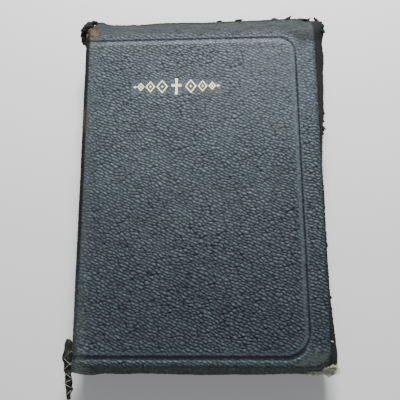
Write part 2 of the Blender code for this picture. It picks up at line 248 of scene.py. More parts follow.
def new_mesh(
    name: str,
    points: Array | Sequence,
    faces: Array | Sequence,
    material: Material | None = None,
    flat: Array | None = None,
    masks: dict[str, Array] | None = None,
    smooth: bool = True,
) -> Piece:
    """A mesh object from points in millimetres of the row frame.

    Args:
        name: the object's name.
        points: one row for each vertex.
        faces: vertex indices of each face.
        material: what it is made of.
        flat: position of each vertex on the uncut sheet, kept as the UV map "sheet" in metres.
        masks: per-vertex values for the material, by name.
        smooth: smooth shading.

    Returns:
        The object, linked to the scene.
    """
    mesh = bpy.data.meshes.new(name)
    mesh.from_pydata(np.asarray(points, float) * MM, [], faces)
    mesh.validate()
    if flat is not None:
        layer = mesh.uv_layers.new(name="sheet")
        index = np.zeros(len(mesh.loops), np.int32)
        mesh.loops.foreach_get("vertex_index", index)
        corners = np.asarray(flat, float)[index] * MM
        layer.data.foreach_set("uv", corners.astype(np.float32).ravel())
    for key, values in (masks or {}).items():
        mask = mesh.attributes.new(key, "FLOAT", "POINT")
        mask.data.foreach_set("value", values.astype(np.float32))
    if material is not None:
        mesh.materials.append(material)
    if smooth:
        mesh.shade_smooth()
    obj = bpy.data.objects.new(name, mesh)
    bpy.context.scene.collection.objects.link(obj)
    return obj


def grid_faces(rows: int, columns: int, start: int = 0, flip: bool = False) -> Array:
    """Quads over a grid of vertices stored row by row.

    Args:
        rows: rows of vertices.
        columns: vertices in a row.
        start: index of the first vertex.
        flip: turn every face round.

    Returns:
        One row of four vertex indices for each face.
    """
    index = np.arange(rows * columns).reshape(rows, columns) + start
    corners = [index[:-1, :-1], index[1:, :-1], index[1:, 1:], index[:-1, 1:]]
    quads = np.stack(corners, -1).reshape(-1, 4)
    return quads[:, ::-1] if flip else quads


def rim_indices(rows: int, columns: int, start: int = 0) -> Array:
    """The vertices round the border of a grid, in order.

    Args:
        rows: rows of vertices.
        columns: vertices in a row.
        start: index of the first vertex.

    Returns:
        The indices, each once.
    """
    index = np.arange(rows * columns).reshape(rows, columns) + start
    return np.concatenate([index[0, :-1], index[:-1, -1], index[-1, :0:-1], index[:0:-1, 0]])


def slab_faces(rows: int, columns: int, flip: bool = False) -> list:
    """Faces of a closed slab: an outer grid of vertices, an inner one stored after it, and walls.

    Args:
        rows: rows of each grid.
        columns: columns of each grid.
        flip: turn every face round.

    Returns:
        The faces, as lists of vertex indices.
    """
    start = rows * columns
    faces = grid_faces(rows, columns, 0, flip).tolist()
    faces += grid_faces(rows, columns, start, not flip).tolist()
    ring, below = rim_indices(rows, columns), rim_indices(rows, columns, start)
    for k in range(len(ring)):
        n = (k + 1) % len(ring)
        if flip:
            faces.append([ring[k], ring[n], below[n], below[k]])
        else:
            faces.append([ring[k], below[k], below[n], ring[n]])
    return faces


def copy_node(node: str, prefix: str, material: Material) -> Piece:
    """A copy of a carried-over CAD node that can bend, with its own material.

    Args:
        node: name of the CAD node.
        prefix: word put before the node's name.
        material: what it is made of.

    Returns:
        The object, linked to the scene.
    """
    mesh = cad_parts[node].data.copy()
    mesh.materials.clear()
    mesh.materials.append(material)
    piece = bpy.data.objects.new(f"{prefix}_{node}", mesh)
    bpy.context.scene.collection.objects.link(piece)
    return piece


def dress_node(name: str, material: Material) -> None:
    """Gives a carried-over CAD node its material.

    Args:
        name: the node's name.
        material: what it is made of.
    """
    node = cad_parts[name]
    node.data.materials.clear()
    node.data.materials.append(material)


def join_parts(parts: Sequence[Shape]) -> Shape:
    """Several (points, faces) meshes as one.

    Args:
        parts: the meshes, each its points and faces.

    Returns:
        Points and faces of the whole.
    """
    points, faces, start = [], [], 0
    for more, polygons in parts:
        points.append(np.asarray(more, float))
        faces += [[int(i) + start for i in polygon] for polygon in polygons]
        start += len(more)
    return np.concatenate(points), faces


def ring_walls(rings: int, sides: int) -> list:
    """Quads between rings of vertices stored one after another.

    Args:
        rings: how many rings there are.
        sides: vertices in each ring.

    Returns:
        The faces, as lists of vertex indices.
    """
    faces = []
    for i in range(rings - 1):
        for k in range(sides):
            a, b = i * sides + k, i * sides + (k + 1) % sides
            faces.append([a, b, b + sides, a + sides])
    return faces


def tube(path: Array, radius: Array | float, sides: int = 6) -> Shape:
    """A closed tube along a path.

    Args:
        path: points of the centre line.
        radius: one radius, or one for each point.
        sides: corners of its cross-section.

    Returns:
        Points and faces.
    """
    path = np.asarray(path, float)
    radius = np.broadcast_to(np.asarray(radius, float), (len(path),))
    along = np.gradient(path, axis=0)
    along /= np.linalg.norm(along, axis=1)[:, None] + TINY
    helper = np.array([0.31, 0.22, 0.92])
    across = np.cross(along, helper)
    across /= np.linalg.norm(across, axis=1)[:, None] + TINY
    up = np.cross(across, along)
    turns = np.arange(sides) * 2 * math.pi / sides
    cosine, sine = np.cos(turns)[None, :, None], np.sin(turns)[None, :, None]
    ring = across[:, None, :] * cosine + up[:, None, :] * sine
    points = (path[:, None, :] + ring * radius[:, None, None]).reshape(-1, 3)
    faces = ring_walls(len(path), sides)
    faces.append(list(range(sides))[::-1])
    faces.append([len(points) - sides + k for k in range(sides)])
    return points, faces


def flake(
    rng: np.random.Generator,
    centre: Sequence[float],
    size: Sequence[float],
    tilt: Sequence[float],
    thick: float,
) -> Shape:
    """A torn scrap of leather: a bent plate with a ragged outline.

    Args:
        rng: seeded source of its raggedness.
        centre: its middle.
        size: half its length and half its width.
        tilt: turns about X, Y and Z, in degrees.
        thick: thickness in the middle.

    Returns:
        Points and faces of a closed mesh.
    """
    sides, rings = 18, 4
    reach = 1.0 + rng.uniform(-0.30, 0.30, sides)
    reach = reach + 0.15 * np.sin(np.arange(sides) * rng.uniform(1.5, 3.0))
    bend = rng.uniform(-0.35, 0.35, 3)
    angles = np.arange(sides) * 2 * math.pi / sides
    rows = [np.array([[0.0, 0.0, thick / 2]])]
    for sign in (1.0, -1.0):
        steps = range(1, rings + 1) if sign > 0 else range(rings - 1, 0, -1)
        for k in steps:
            t = k / rings
            r = t * (1 + (reach - 1) * t)
            height = sign * thick / 2 * math.sqrt(max(0.0, 1 - t**4))
            height = height + rng.uniform(-0.09, 0.09, sides)
            rows.append(np.stack([np.cos(angles) * r, np.sin(angles) * r, height], 1))
    rows.append(np.array([[0.0, 0.0, -thick / 2]]))
    points = np.concatenate(rows)
    squares = points[:, :2] ** 2
    for axis in (0, 1):
        points[:, 2] += bend[axis] * squares[:, axis] * size[axis] * 0.5
    points[:, 2] += bend[2] * points[:, 0] * points[:, 1]
    points[:, 0] *= size[0]
    points[:, 1] *= size[1]
    turn = np.array(Euler([math.radians(a) for a in tilt]).to_matrix())
    points = points @ turn.T + np.asarray(centre, float)
    faces = [[0, 1 + k, 1 + (k + 1) % sides] for k in range(sides)]
    bands = 2 * rings - 1
    for band in range(bands - 1):
        a = 1 + band * sides
        for k in range(sides):
            n = (k + 1) % sides
            faces.append([a + k, a + sides + k, a + sides + n, a + n])
    last, end = 1 + (bands - 1) * sides, 1 + bands * sides
    faces += [[last + (k + 1) % sides, last + k, end] for k in range(sides)]
    return points, faces


# --- materials


class NodeSheet:
    """A node tree with short calls to fill it, and the material it belongs to if there is one."""

    COLOUR_MIX = (0, 6, 7)
    COLOUR_OUT = 2

    def __init__(self, tree: Tree, owner: Material | None = None) -> None:
        """Keeps the tree and its material."""
        self.tree = tree
        self.owner = owner

    def add(self, kind: str, settings: dict | None = None, **inputs: object) -> Node:
        """A node with its settings and inputs.

        Args:
            kind: the node's type, without "ShaderNode".
            settings: properties of the node.
            inputs: an input's name, with _ for a space, or in1 for its second input. A socket
                is linked, and anything else is set.

        Returns:
            The node.
        """
        node = self.tree.nodes.new("ShaderNode" + kind)
        for key, value in (settings or {}).items():
            setattr(node, key, value)
        for key, value in inputs.items():
            digit = key.startswith("in") and key[2:].isdigit()
            socket = node.inputs[int(key[2:])] if digit else node.inputs[key.replace("_", " ")]
            if isinstance(value, Socket):
                self.tree.links.new(value, socket)
            elif isinstance(value, tuple) and len(value) == 3 and socket.type == "RGBA":
                socket.default_value = (*value, 1.0)
            else:
                socket.default_value = value
        return node

    def maths(
        self, operation: str, one: object, two: object = 0.0, clamp: bool = False
    ) -> Socket:
        """A sum of two values or sockets."""
        node = self.add("Math", {"operation": operation, "use_clamp": clamp}, in0=one, in1=two)
        return node.outputs[0]

    def mix(
        self, share: object, one: object, two: object, blend: str = "MIX"
    ) -> Socket:
        """Two colours mixed by a share.

        Args:
            share: share of the second, as a value or socket.
            one: first colour or socket.
            two: second colour or socket.
            blend: how they are mixed.

        Returns:
            The mixed colour.
        """
        node = self.add("Mix", {"data_type": "RGBA", "blend_type": blend})
        for slot, value in zip(self.COLOUR_MIX, (share, one, two)):
            if isinstance(value, Socket):
                self.tree.links.new(value, node.inputs[slot])
            elif isinstance(value, tuple):
                node.inputs[slot].default_value = (*value, 1.0)
            else:
                node.inputs[slot].default_value = value
        return node.outputs[self.COLOUR_OUT]

    def ramp(self, value: object, low: float, high: float) -> Socket:
        """A value stretched so that low gives 0 and high gives 1.

        Args:
            value: the value or socket.
            low: what becomes 0.
            high: what becomes 1.

        Returns:
            The stretched value.
        """
        node = self.add("MapRange", {"interpolation_type": "SMOOTHSTEP"}, Value=value)
        node.inputs["From Min"].default_value = low
        node.inputs["From Max"].default_value = high
        return node.outputs[0]

    def mask(self, name: str) -> Socket:
        """A per-vertex value of the mesh."""
        return self.add("Attribute", {"attribute_name": name}).outputs["Fac"]

    def sheet_place(self) -> Socket:
        """The position on the uncut sheet."""
        return self.add("UVMap", {"uv_map": "sheet"}).outputs[0]

    def object_place(self) -> Socket:
        """The position in the piece's own frame."""
        return self.add("TexCoord").outputs["Object"]


class SharedGroups:
    """The effects that several materials use, each built once as a node group."""

    def __init__(self) -> None:
        """Builds all the groups."""
        self.fine_grain = self._fine_grain()
        self.patches = self._patches()
        self.fibres = self._fibres()
        self.weave = self._weave()

    def _group(
        self, name: str, inputs: dict[str, float], outputs: Sequence[str]
    ) -> tuple[NodeSheet, Node, Node]:
        """An empty group with a Vector input, value inputs and value outputs.

        Args:
            name: the group's name.
            inputs: value inputs, with the value each starts at.
            outputs: names of the value outputs.

        Returns:
            The node sheet, the group input node and the group output node.
        """
        tree = bpy.data.node_groups.new(name, "ShaderNodeTree")
        tree.interface.new_socket("Vector", in_out="INPUT", socket_type="NodeSocketVector")
        for key, value in inputs.items():
            socket = tree.interface.new_socket(key, in_out="INPUT", socket_type="NodeSocketFloat")
            socket.default_value = value
        for key in outputs:
            tree.interface.new_socket(key, in_out="OUTPUT", socket_type="NodeSocketFloat")
        given, out = tree.nodes.new("NodeGroupInput"), tree.nodes.new("NodeGroupOutput")
        return NodeSheet(tree), given, out

    def _fine_grain(self) -> Tree:
        """Pores and hair-fine wrinkles of leather.

        Returns:
            The group, with outputs Height and Pores.
        """
        sheet, given, out = self._group("leather fine grain", {"Scale": 900.0}, ["Height", "Pores"])
        place, scale = given.outputs["Vector"], given.outputs["Scale"]
        noise = sheet.add("TexNoise", Vector=place, Scale=scale, Detail=4.0, Roughness=0.6)
        wide = sheet.maths("MULTIPLY", scale, 0.8)
        cells = sheet.add("TexVoronoi", {"feature": "DISTANCE_TO_EDGE"}, Vector=place, Scale=wide)
        wrinkle = sheet.ramp(cells.outputs["Distance"], 0.0, 0.25)
        cloudy = sheet.maths("MULTIPLY", noise.outputs[0], 0.6)
        height = sheet.maths("ADD", cloudy, sheet.maths("MULTIPLY", wrinkle, 0.4))
        sheet.tree.links.new(height, out.inputs["Height"])
        sheet.tree.links.new(sheet.ramp(noise.outputs[0], 0.35, 0.7), out.inputs["Pores"])
        return sheet.tree

    def _patches(self) -> Tree:
        """Soft-edged patches, for rubbed, dusty or stained places.

        Returns:
            The group, with the output Mask.
        """
        inputs = {"Scale": 60.0, "Cover": 0.5, "Soft": 0.12}
        sheet, given, out = self._group("wear patches", inputs, ["Mask"])
        place, scale = given.outputs["Vector"], given.outputs["Scale"]
        noise = sheet.add("TexNoise", Vector=place, Scale=scale, Detail=6.0, Roughness=0.62)
        threshold = sheet.maths("SUBTRACT", 1.0, given.outputs["Cover"])
        above = sheet.maths("SUBTRACT", noise.outputs[0], threshold)
        share = sheet.maths("DIVIDE", above, given.outputs["Soft"])
        mask = sheet.maths("ADD", share, 0.5, clamp=True)
        sheet.tree.links.new(mask, out.inputs["Mask"])
        return sheet.tree

    def _fibres(self) -> Tree:
        """Short fibres of paper, card or torn hide, drawn out along one axis.

        Returns:
            The group, with the output Height.
        """
        sheet, given, out = self._group("fibres", {"Scale": 500.0, "Stretch": 0.25}, ["Height"])
        lay = sheet.add("CombineXYZ", X=1.0, Y=given.outputs["Stretch"], Z=1.0)
        vector, scale = given.outputs["Vector"], given.outputs["Scale"]
        place = sheet.add("VectorMath", {"operation": "MULTIPLY"}, in0=vector, in1=lay.outputs[0])
        grain = {"Detail": 5.0, "Roughness": 0.7, "Distortion": 0.6}
        noise = sheet.add("TexNoise", Vector=place.outputs[0], Scale=scale, **grain)
        sheet.tree.links.new(noise.outputs[0], out.inputs["Height"])
        return sheet.tree

    def _weave(self) -> Tree:
        """Plain weave: threads over and under along two axes of the vector.

        Returns:
            The group, with outputs Height and Gaps.
        """
        sheet, given, out = self._group("plain weave", {"Pitch": 0.0006}, ["Height", "Gaps"])
        split = sheet.add("SeparateXYZ", Vector=given.outputs["Vector"])
        waves = []
        for axis in ("X", "Y"):
            turns = sheet.maths("DIVIDE", split.outputs[axis], given.outputs["Pitch"])
            waves.append(sheet.maths("SINE", sheet.maths("MULTIPLY", turns, math.pi)))
        product = sheet.maths("MULTIPLY", waves[0], waves[1])
        bumps = sheet.maths("ABSOLUTE", product)
        threads = [sheet.maths("ABSOLUTE", wave) for wave in waves]
        highest = sheet.maths("MAXIMUM", threads[0], threads[1])
        halves = [sheet.maths("MULTIPLY", part, 0.5) for part in (bumps, highest)]
        height = sheet.maths("ADD", halves[0], halves[1])
        sheet.tree.links.new(height, out.inputs["Height"])
        sheet.tree.links.new(sheet.ramp(highest, 0.35, 0.75), out.inputs["Gaps"])
        return sheet.tree


class Finish:
    """Base of the finishes: starts a material and closes it with a bump and a Principled shader."""

    def begin(self, name: str) -> NodeSheet:
        """An empty material's node sheet.

        Args:
            name: the material's name.

        Returns:
            The node sheet, which knows its material.
        """
        material = bpy.data.materials.new(name)
        material.use_nodes = True
        material.node_tree.nodes.clear()
        return NodeSheet(material.node_tree, material)

    def close(
        self,
        sheet: NodeSheet,
        colour: object,
        roughness: object,
        height: object = None,
        depth_mm: float = 0.05,
        metallic: object = 0.0,
        **shader_values: float,
    ) -> Material:
        """Adds the shader and the output.

        Args:
            sheet: the material's nodes.
            colour, roughness, metallic: values or sockets.
            height: socket of the bump's height, or None.
            depth_mm: height of the bump.
            shader_values: constants for other inputs of the shader.

        Returns:
            The material.
        """
        surface = {"Base_Color": colour, "Roughness": roughness, "Metallic": metallic}
        shader = sheet.add("BsdfPrincipled", **surface, **shader_values)
        if height is not None:
            bump = sheet.add("Bump", Height=height, Distance=depth_mm * MM)
            sheet.tree.links.new(bump.outputs[0], shader.inputs["Normal"])
        out = sheet.add("OutputMaterial")
        sheet.tree.links.new(shader.outputs[0], out.inputs[0])
        return sheet.owner

    def group(
        self, sheet: NodeSheet, tree: Tree, vector: object, **values: float
    ) -> Node:
        """A shared group placed in this material.

        Args:
            sheet: the material's nodes.
            tree: the shared group.
            vector: socket of the position it is placed by.
            values: values for the group's other inputs.

        Returns:
            The group node.
        """
        node = sheet.tree.nodes.new("ShaderNodeGroup")
        node.node_tree = tree
        sheet.tree.links.new(vector, node.inputs["Vector"])
        for key, value in values.items():
            node.inputs[key].default_value = value
        return node


@dataclass(frozen=True)
class LeatherFinish(Finish):
    """Worn dyed leather: slate-black pebbles with creases painted near black as shade, rubbed
    green-grey edges, bare hide.
    """

    # crease is painted shade: the near-black colour put into the grain's creases, against the paler
    # pebble tops.
    crease: Colour = (0.0018, 0.0030, 0.0042)
    pebble: Colour = (0.108, 0.141, 0.163)
    rubbed: Colour = (0.042, 0.053, 0.044)
    bare: Colour = (0.155, 0.118, 0.050)
    cool_tone: Colour = (0.82, 0.84, 0.88)
    warm_tone: Colour = (1.1, 1.1, 1.06)
    roughness: float = 0.42
    worn_roughness: float = 0.28
    crease_roughness: float = 0.45
    hide_roughness: float = 0.3
    grain_depth: float = 0.11

    def build(self, groups: SharedGroups, name: str) -> Material:
        """The material, which reads the masks pebble, rubbed and bare.

        Args:
            groups, name: the shared groups, and the material's name.

        Returns:
            The material.
        """
        sheet = self.begin(name)
        place = sheet.sheet_place()
        pebble, rubbed, bare = (sheet.mask(key) for key in ("pebble", "rubbed", "bare"))
        fine = self.group(sheet, groups.fine_grain, place, Scale=1100.0)
        wide = self.group(sheet, groups.patches, place, Scale=22.0, Cover=0.48, Soft=0.35)
        small = self.group(sheet, groups.patches, place, Scale=260.0, Cover=0.5, Soft=0.25)
        # Painted shade: the pebble mask mixes the near-black crease colour into the creases and the
        # paler pebble colour onto the tops.
        tops = sheet.maths("POWER", pebble, 1.5)
        colour = sheet.mix(tops, self.crease, self.pebble)
        tone = sheet.mix(wide.outputs[0], self.cool_tone, self.warm_tone)
        colour = sheet.mix(1.0, colour, tone, "MULTIPLY")
        spots = sheet.maths("ADD", sheet.maths("MULTIPLY", small.outputs[0], 0.6), 0.4)
        worn = sheet.maths("MULTIPLY", rubbed, spots)
        colour = sheet.mix(worn, colour, self.rubbed)
        blotches = sheet.maths("ADD", small.outputs[0], 0.35)
        hide = sheet.maths("MULTIPLY", bare, blotches, clamp=True)
        colour = sheet.mix(hide, colour, self.bare)
        sunk = sheet.maths("SUBTRACT", 1.0, pebble)
        rough = sheet.maths("ADD", sheet.maths("MULTIPLY", worn, self.worn_roughness), self.roughness)
        for share, more in ((sunk, self.crease_roughness), (hide, self.hide_roughness)):
            rough = sheet.maths("ADD", rough, sheet.maths("MULTIPLY", share, more), clamp=True)
        height = fine.outputs["Height"]
        return self.close(sheet, colour, rough, height, self.grain_depth, Specular_IOR_Level=0.30)


@dataclass(frozen=True)
class RagFinish(Finish):
    """Torn, matted leather: near-black outside, fibrous olive and ochre inside."""

    dark: Colour = (0.012, 0.011, 0.009)
    light: Colour = (0.076, 0.080, 0.048)
    cover: float = 0.45

    def build(self, groups: SharedGroups, name: str) -> Material:
        """The material, placed by object position.

        Args:
            groups, name: the shared groups, and the material's name.

        Returns:
            The material.
        """
        sheet = self.begin(name)
        place = sheet.object_place()
        fibres = self.group(sheet, groups.fibres, place, Scale=900.0, Stretch=0.3)
        patch = self.group(sheet, groups.patches, place, Scale=320.0, Cover=self.cover, Soft=0.18)
        share = sheet.maths("MULTIPLY", patch.outputs[0], sheet.ramp(fibres.outputs[0], 0.3, 0.65))
        colour = sheet.mix(share, self.dark, self.light)
        return self.close(sheet, colour, 0.85, fibres.outputs[0], 0.25, Specular_IOR_Level=0.25)


@dataclass(frozen=True)
class PaperFinish(Finish):
    """Thin book paper, with stained edges where it is cut."""

    face: Colour = (0.74, 0.66, 0.50)
    edge: Colour = (0.34, 0.12, 0.06)
    foxed: Colour = (0.56, 0.43, 0.25)
    ink: Colour = (0.16, 0.14, 0.12)
    leaf_shade: Colour = (0.10, 0.05, 0.03)
    lines: bool = True
    line_pitch: float = 2.6
    column_centres: tuple[float, float] = (-31.0, 26.0)
    column_half_width: float = 25.4
    column_half_height: float = 80.0
    column_blur: float = 0.2

    def build(self, groups: SharedGroups, name: str) -> Material:
        """The material, placed by object position so that its lines follow the leaves.

        Args:
            groups, name: the shared groups, and the material's name.

        Returns:
            The material.
        """
        sheet = self.begin(name)
        place = sheet.object_place()
        fibres = self.group(sheet, groups.fibres, place, Scale=420.0, Stretch=0.6)
        foxing = self.group(sheet, groups.patches, place, Scale=38.0, Cover=0.42, Soft=0.3)
        colour = sheet.mix(sheet.maths("MULTIPLY", foxing.outputs[0], 0.35), self.face, self.foxed)
        cut = sheet.mask("cut")
        if self.lines:
            colour = sheet.mix(self._print(sheet, place, cut), colour, self.ink)
        split = sheet.add("SeparateXYZ", Vector=place)
        long_x, long_y = (sheet.maths("MULTIPLY", split.outputs[axis], 45.0) for axis in "XY")
        thin_z = sheet.maths("MULTIPLY", split.outputs["Z"], 3600.0)
        along = sheet.add("CombineXYZ", X=long_x, Y=long_y, Z=thin_z)
        leaves = sheet.add("TexNoise", Vector=along.outputs[0], Scale=1.0, Detail=3.0).outputs[0]
        rubbed = self.group(sheet, groups.patches, place, Scale=60.0, Cover=0.62, Soft=0.9)
        kept = sheet.maths("ADD", rubbed.outputs[0], 0.25, clamp=True)
        stain = sheet.maths("MULTIPLY", cut, kept)
        colour = sheet.mix(sheet.maths("MULTIPLY", stain, 0.9), colour, self.edge)
        shade = sheet.maths("MULTIPLY", cut, sheet.ramp(leaves, 0.62, 0.38))
        colour = sheet.mix(sheet.maths("MULTIPLY", shade, 0.6), colour, self.leaf_shade)
        return self.close(sheet, colour, 0.8, fibres.outputs[0], 0.03, Specular_IOR_Level=0.3)

    def _print(self, sheet: NodeSheet, place: object, cut: object) -> Socket:
        """Two columns of plain grey rules in place of print.

        Args:
            sheet: the material's nodes.
            place: socket of the position.
            cut: socket that is 1 on cut edges.

        Returns:
            How dark the rules are there, from 0 to 1.
        """
        split = sheet.add("SeparateXYZ", Vector=place)
        x, y = split.outputs["X"], split.outputs["Y"]
        line = sheet.maths("DIVIDE", y, self.line_pitch * MM)
        from_middle = sheet.maths("SUBTRACT", sheet.maths("FRACT", line), 0.5)
        rule = sheet.ramp(sheet.maths("ABSOLUTE", from_middle), 0.24, 0.14)
        rounded = sheet.maths("FLOOR", line)
        word = sheet.add("CombineXYZ", X=sheet.maths("MULTIPLY", x, 330.0), Y=rounded, Z=0.0)
        breaks = sheet.add("TexNoise", Vector=word.outputs[0], Scale=1.0, Detail=1.0).outputs[0]
        columns = 0.0
        wide, tall = self.column_half_width, self.column_half_height
        for centre in self.column_centres:
            across = sheet.maths("ABSOLUTE", sheet.maths("SUBTRACT", x, centre * MM))
            inside = sheet.ramp(across, (wide + self.column_blur) * MM, (wide - self.column_blur) * MM)
            columns = sheet.maths("ADD", inside, columns)
        up = sheet.maths("ABSOLUTE", y)
        page = sheet.ramp(up, (tall + self.column_blur) * MM, (tall - self.column_blur) * MM)
        share = sheet.maths("MULTIPLY", rule, columns)
        for part in (page, sheet.maths("SUBTRACT", 1.0, cut), sheet.ramp(breaks, 0.36, 0.42), 0.62):
            share = sheet.maths("MULTIPLY", share, part)
        return share


@dataclass(frozen=True)
class ClothFinish(Finish):
    """Woven cloth, from coarse gauze to book cloth."""

    thread: Colour = (0.50, 0.44, 0.32)
    gap: Colour = (0.22, 0.18, 0.12)
    pitch: float = 0.6

    def build(self, groups: SharedGroups, name: str, axes: str = "YZ") -> Material:
        """The material, woven along the two named axes.

        Args:
            groups, name: the shared groups, and the material's name.
            axes: the two axes that the threads run along.

        Returns:
            The material.
        """
        sheet = self.begin(name)
        split = sheet.add("SeparateXYZ", Vector=sheet.object_place())
        warp, weft = (split.outputs[axis] for axis in axes)
        place = sheet.add("CombineXYZ", X=warp, Y=weft, Z=0.0).outputs[0]
        weave = self.group(sheet, groups.weave, place, Pitch=self.pitch * MM)
        fuzz = self.group(sheet, groups.patches, place, Scale=300.0, Cover=0.5, Soft=0.4)
        colour = sheet.mix(weave.outputs["Gaps"], self.gap, self.thread)
        colour = sheet.mix(sheet.maths("MULTIPLY", fuzz.outputs[0], 0.3), colour, self.gap)
        return self.close(sheet, colour, 0.9, weave.outputs["Height"], 0.12, Specular_IOR_Level=0.2)


@dataclass(frozen=True)
class PlainFibreFinish(Finish):
    """Card, lining paper or thread: one colour broken up by fibres."""

    colour: Colour = (0.33, 0.27, 0.19)
    shade: Colour = (0.22, 0.17, 0.11)
    roughness: float = 0.85
    scale: float = 500.0

    def build(self, groups: SharedGroups, name: str) -> Material:
        """The material, placed by object position.

        Args:
            groups, name: the shared groups, and the material's name.

        Returns:
            The material.
        """
        sheet = self.begin(name)
        place = sheet.object_place()
        fibres = self.group(sheet, groups.fibres, place, Scale=self.scale, Stretch=0.4)
        patch = self.group(sheet, groups.patches, place, Scale=70.0, Cover=0.45, Soft=0.3)
        blotches = sheet.maths("ADD", patch.outputs[0], 0.4)
        share = sheet.maths("MULTIPLY", fibres.outputs[0], blotches, clamp=True)
        colour = sheet.mix(share, self.colour, self.shade)
        return self.close(sheet, colour, self.roughness, fibres.outputs[0], 0.06)


@dataclass(frozen=True)
class FoilFinish(Finish):
    """Stamped gold leaf, thin enough to show rubbed spots."""

    gold: Colour = (1.0, 0.97, 0.47)
    rubbed: Colour = (0.30, 0.24, 0.12)

    def build(self, groups: SharedGroups, name: str) -> Material:
        """The material, placed by object position.

        Args:
            groups, name: the shared groups, and the material's name.

        Returns:
            The material.
        """
        sheet = self.begin(name)
        place = sheet.object_place()
        loss = self.group(sheet, groups.patches, place, Scale=700.0, Cover=0.3, Soft=0.12)
        fine = self.group(sheet, groups.fine_grain, place, Scale=1500.0)
        colour = sheet.mix(loss.outputs[0], self.gold, self.rubbed)
        rough = sheet.maths("ADD", sheet.maths("MULTIPLY", fine.outputs["Pores"], 0.15), 0.5)
        metal = sheet.maths("SUBTRACT", 0.06, sheet.maths("MULTIPLY", loss.outputs[0], 0.05))
        return self.close(sheet, colour, rough, fine.outputs["Height"], 0.03, metallic=metal)


@dataclass(frozen=True)
class SilkBandFinish(Finish):
    """Silk wound over a core in two colours."""

    one: Colour = (0.20, 0.018, 0.02)
    two: Colour = (0.55, 0.47, 0.30)
    soiled: Colour = (0.06, 0.04, 0.03)

    def build(self, groups: SharedGroups, name: str) -> Material:
        """The material, striped by the mesh's wind mask.

        Args:
            groups, name: the shared groups, and the material's name.

        Returns:
            The material.
        """
        sheet = self.begin(name)
        wind = sheet.mask("wind")
        colour = sheet.mix(sheet.ramp(wind, 0.45, 0.55), self.one, self.two)
        fibres = self.group(sheet, groups.fibres, sheet.object_place(), Scale=1500.0, Stretch=0.2)
        colour = sheet.mix(sheet.maths("MULTIPLY", fibres.outputs[0], 0.5), colour, self.soiled)
        return self.close(sheet, colour, 0.55, fibres.outputs[0], 0.05)


@dataclass(frozen=True)
class FloorFinish(Finish):
    """Plain pale painted board."""

    colour: Colour = (0.80, 0.79, 0.77)
    scuffed: Colour = (0.74, 0.73, 0.71)

    def build(self, groups: SharedGroups, name: str) -> Material:
        """The material, placed by object position.

        Args:
            groups, name: the shared groups, and the material's name.

        Returns:
            The material.
        """
        sheet = self.begin(name)
        place = sheet.object_place()
        patch = self.group(sheet, groups.patches, place, Scale=6.0, Cover=0.5, Soft=0.5)
        share = sheet.maths("MULTIPLY", patch.outputs[0], 0.12)
        colour = sheet.mix(share, self.colour, self.scuffed)
        return self.close(sheet, colour, 0.7)


@dataclass
class Materials:
    """Every material of the object, made once."""

    groups: SharedGroups = field(default_factory=SharedGroups)

    def __post_init__(self) -> None:
        """Builds each material."""
        made = self.groups
        self.leather = LeatherFinish().build(made, "cover leather")
        self.rag = RagFinish().build(made, "torn leather")
        hide = RagFinish(dark=(0.020, 0.018, 0.011), light=(0.15, 0.115, 0.045), cover=0.55)
        self.hide = hide.build(made, "exposed hide")
        self.pages = PaperFinish().build(made, "page paper")
        self.endpaper = PaperFinish(face=(0.60, 0.53, 0.40), lines=False).build(made, "endpaper")
        lining = PlainFibreFinish((0.016, 0.016, 0.018), (0.007, 0.007, 0.008), 0.6, 900.0)
        self.lining = lining.build(made, "black lining paper")
        self.card = PlainFibreFinish().build(made, "board card")
        spine_paper = PlainFibreFinish(colour=(0.36, 0.25, 0.14), shade=(0.24, 0.15, 0.08))
        self.spine_paper = spine_paper.build(made, "spine lining paper")
        self.mull = ClothFinish(pitch=1.3).build(made, "mull gauze")
        tape = ClothFinish(thread=(0.58, 0.53, 0.42), gap=(0.35, 0.30, 0.22), pitch=0.5)
        self.tape = tape.build(made, "linen tape")
        cloth = ClothFinish(thread=(0.02, 0.02, 0.022), gap=(0.008, 0.008, 0.009), pitch=0.45)
        self.book_cloth = cloth.build(made, "hinge cloth", "XY")
        thread = PlainFibreFinish((0.52, 0.53, 0.40), (0.26, 0.27, 0.18), 0.8, 1500.0)
        self.thread = thread.build(made, "loose thread")
        self.foil = FoilFinish().build(made, "gold leaf")
        self.silk = SilkBandFinish().build(made, "endband silk")
        self.floor = FloorFinish().build(made, "pale floor")


# --- covers


@dataclass
class ToolLine:
    """The blind-tooled line near the cover's edges, which runs out at the spine."""

    fore_head_x: float = 53.1
    fore_tail_x: float = 54.6
    head_y: float = 90.4
    tail_y: float = -90.2
    head_radius: float = 9.5
    tail_radius: float = 13.5

    def outside(self, u: Array, v: Array) -> Array:
        """Signed distance from the line, positive towards the cover's edges.

        Args:
            u, v: flat positions.

        Returns:
            One distance for each position.
        """
        share = (self.head_y - v) / (self.head_y - self.tail_y)
        fore = self.fore_head_x + (self.fore_tail_x - self.fore_head_x) * np.clip(share, 0, 1)
        radius = np.where(v > 0, self.head_radius, self.tail_radius)
        past_x = u - (fore - radius)
        past_y = np.where(v > 0, v - (self.head_y - radius), (self.tail_y + radius) - v)
        corner = np.hypot(np.maximum(past_x, 0), np.maximum(past_y, 0))
        straight = np.maximum(past_x, past_y)
        return np.where((past_x > 0) & (past_y > 0), corner, straight) - radius

    def relief(self, u: Array, v: Array) -> tuple[Array, Array]:
        """Depth of the tooling, and how much grain is left beside it.

        Args:
            u, v: flat positions.

        Returns:
            The depth, and the share of grain left, for each position.
        """
        away = self.outside(u, v)
        ramp = ease((away + 3.2) / 2.9) * (1 - ease((away - 0.1) / 0.6))
        crease = -0.20 * ramp - 0.16 * bell(away, 0.42) + 0.09 * bell(away - 1.0, 0.5)
        return crease, 1 - 0.92 * (1 - ease((np.abs(away + 0.5) - 1.4) / 1.2))


@dataclass(frozen=True)
class Droop:
    """How far a cover's edges turn down, in degrees."""

    fore: float
    fore_swells: tuple[Swell, ...]
    head: float
    tail: float
    head_corner: float
    tail_corner: float


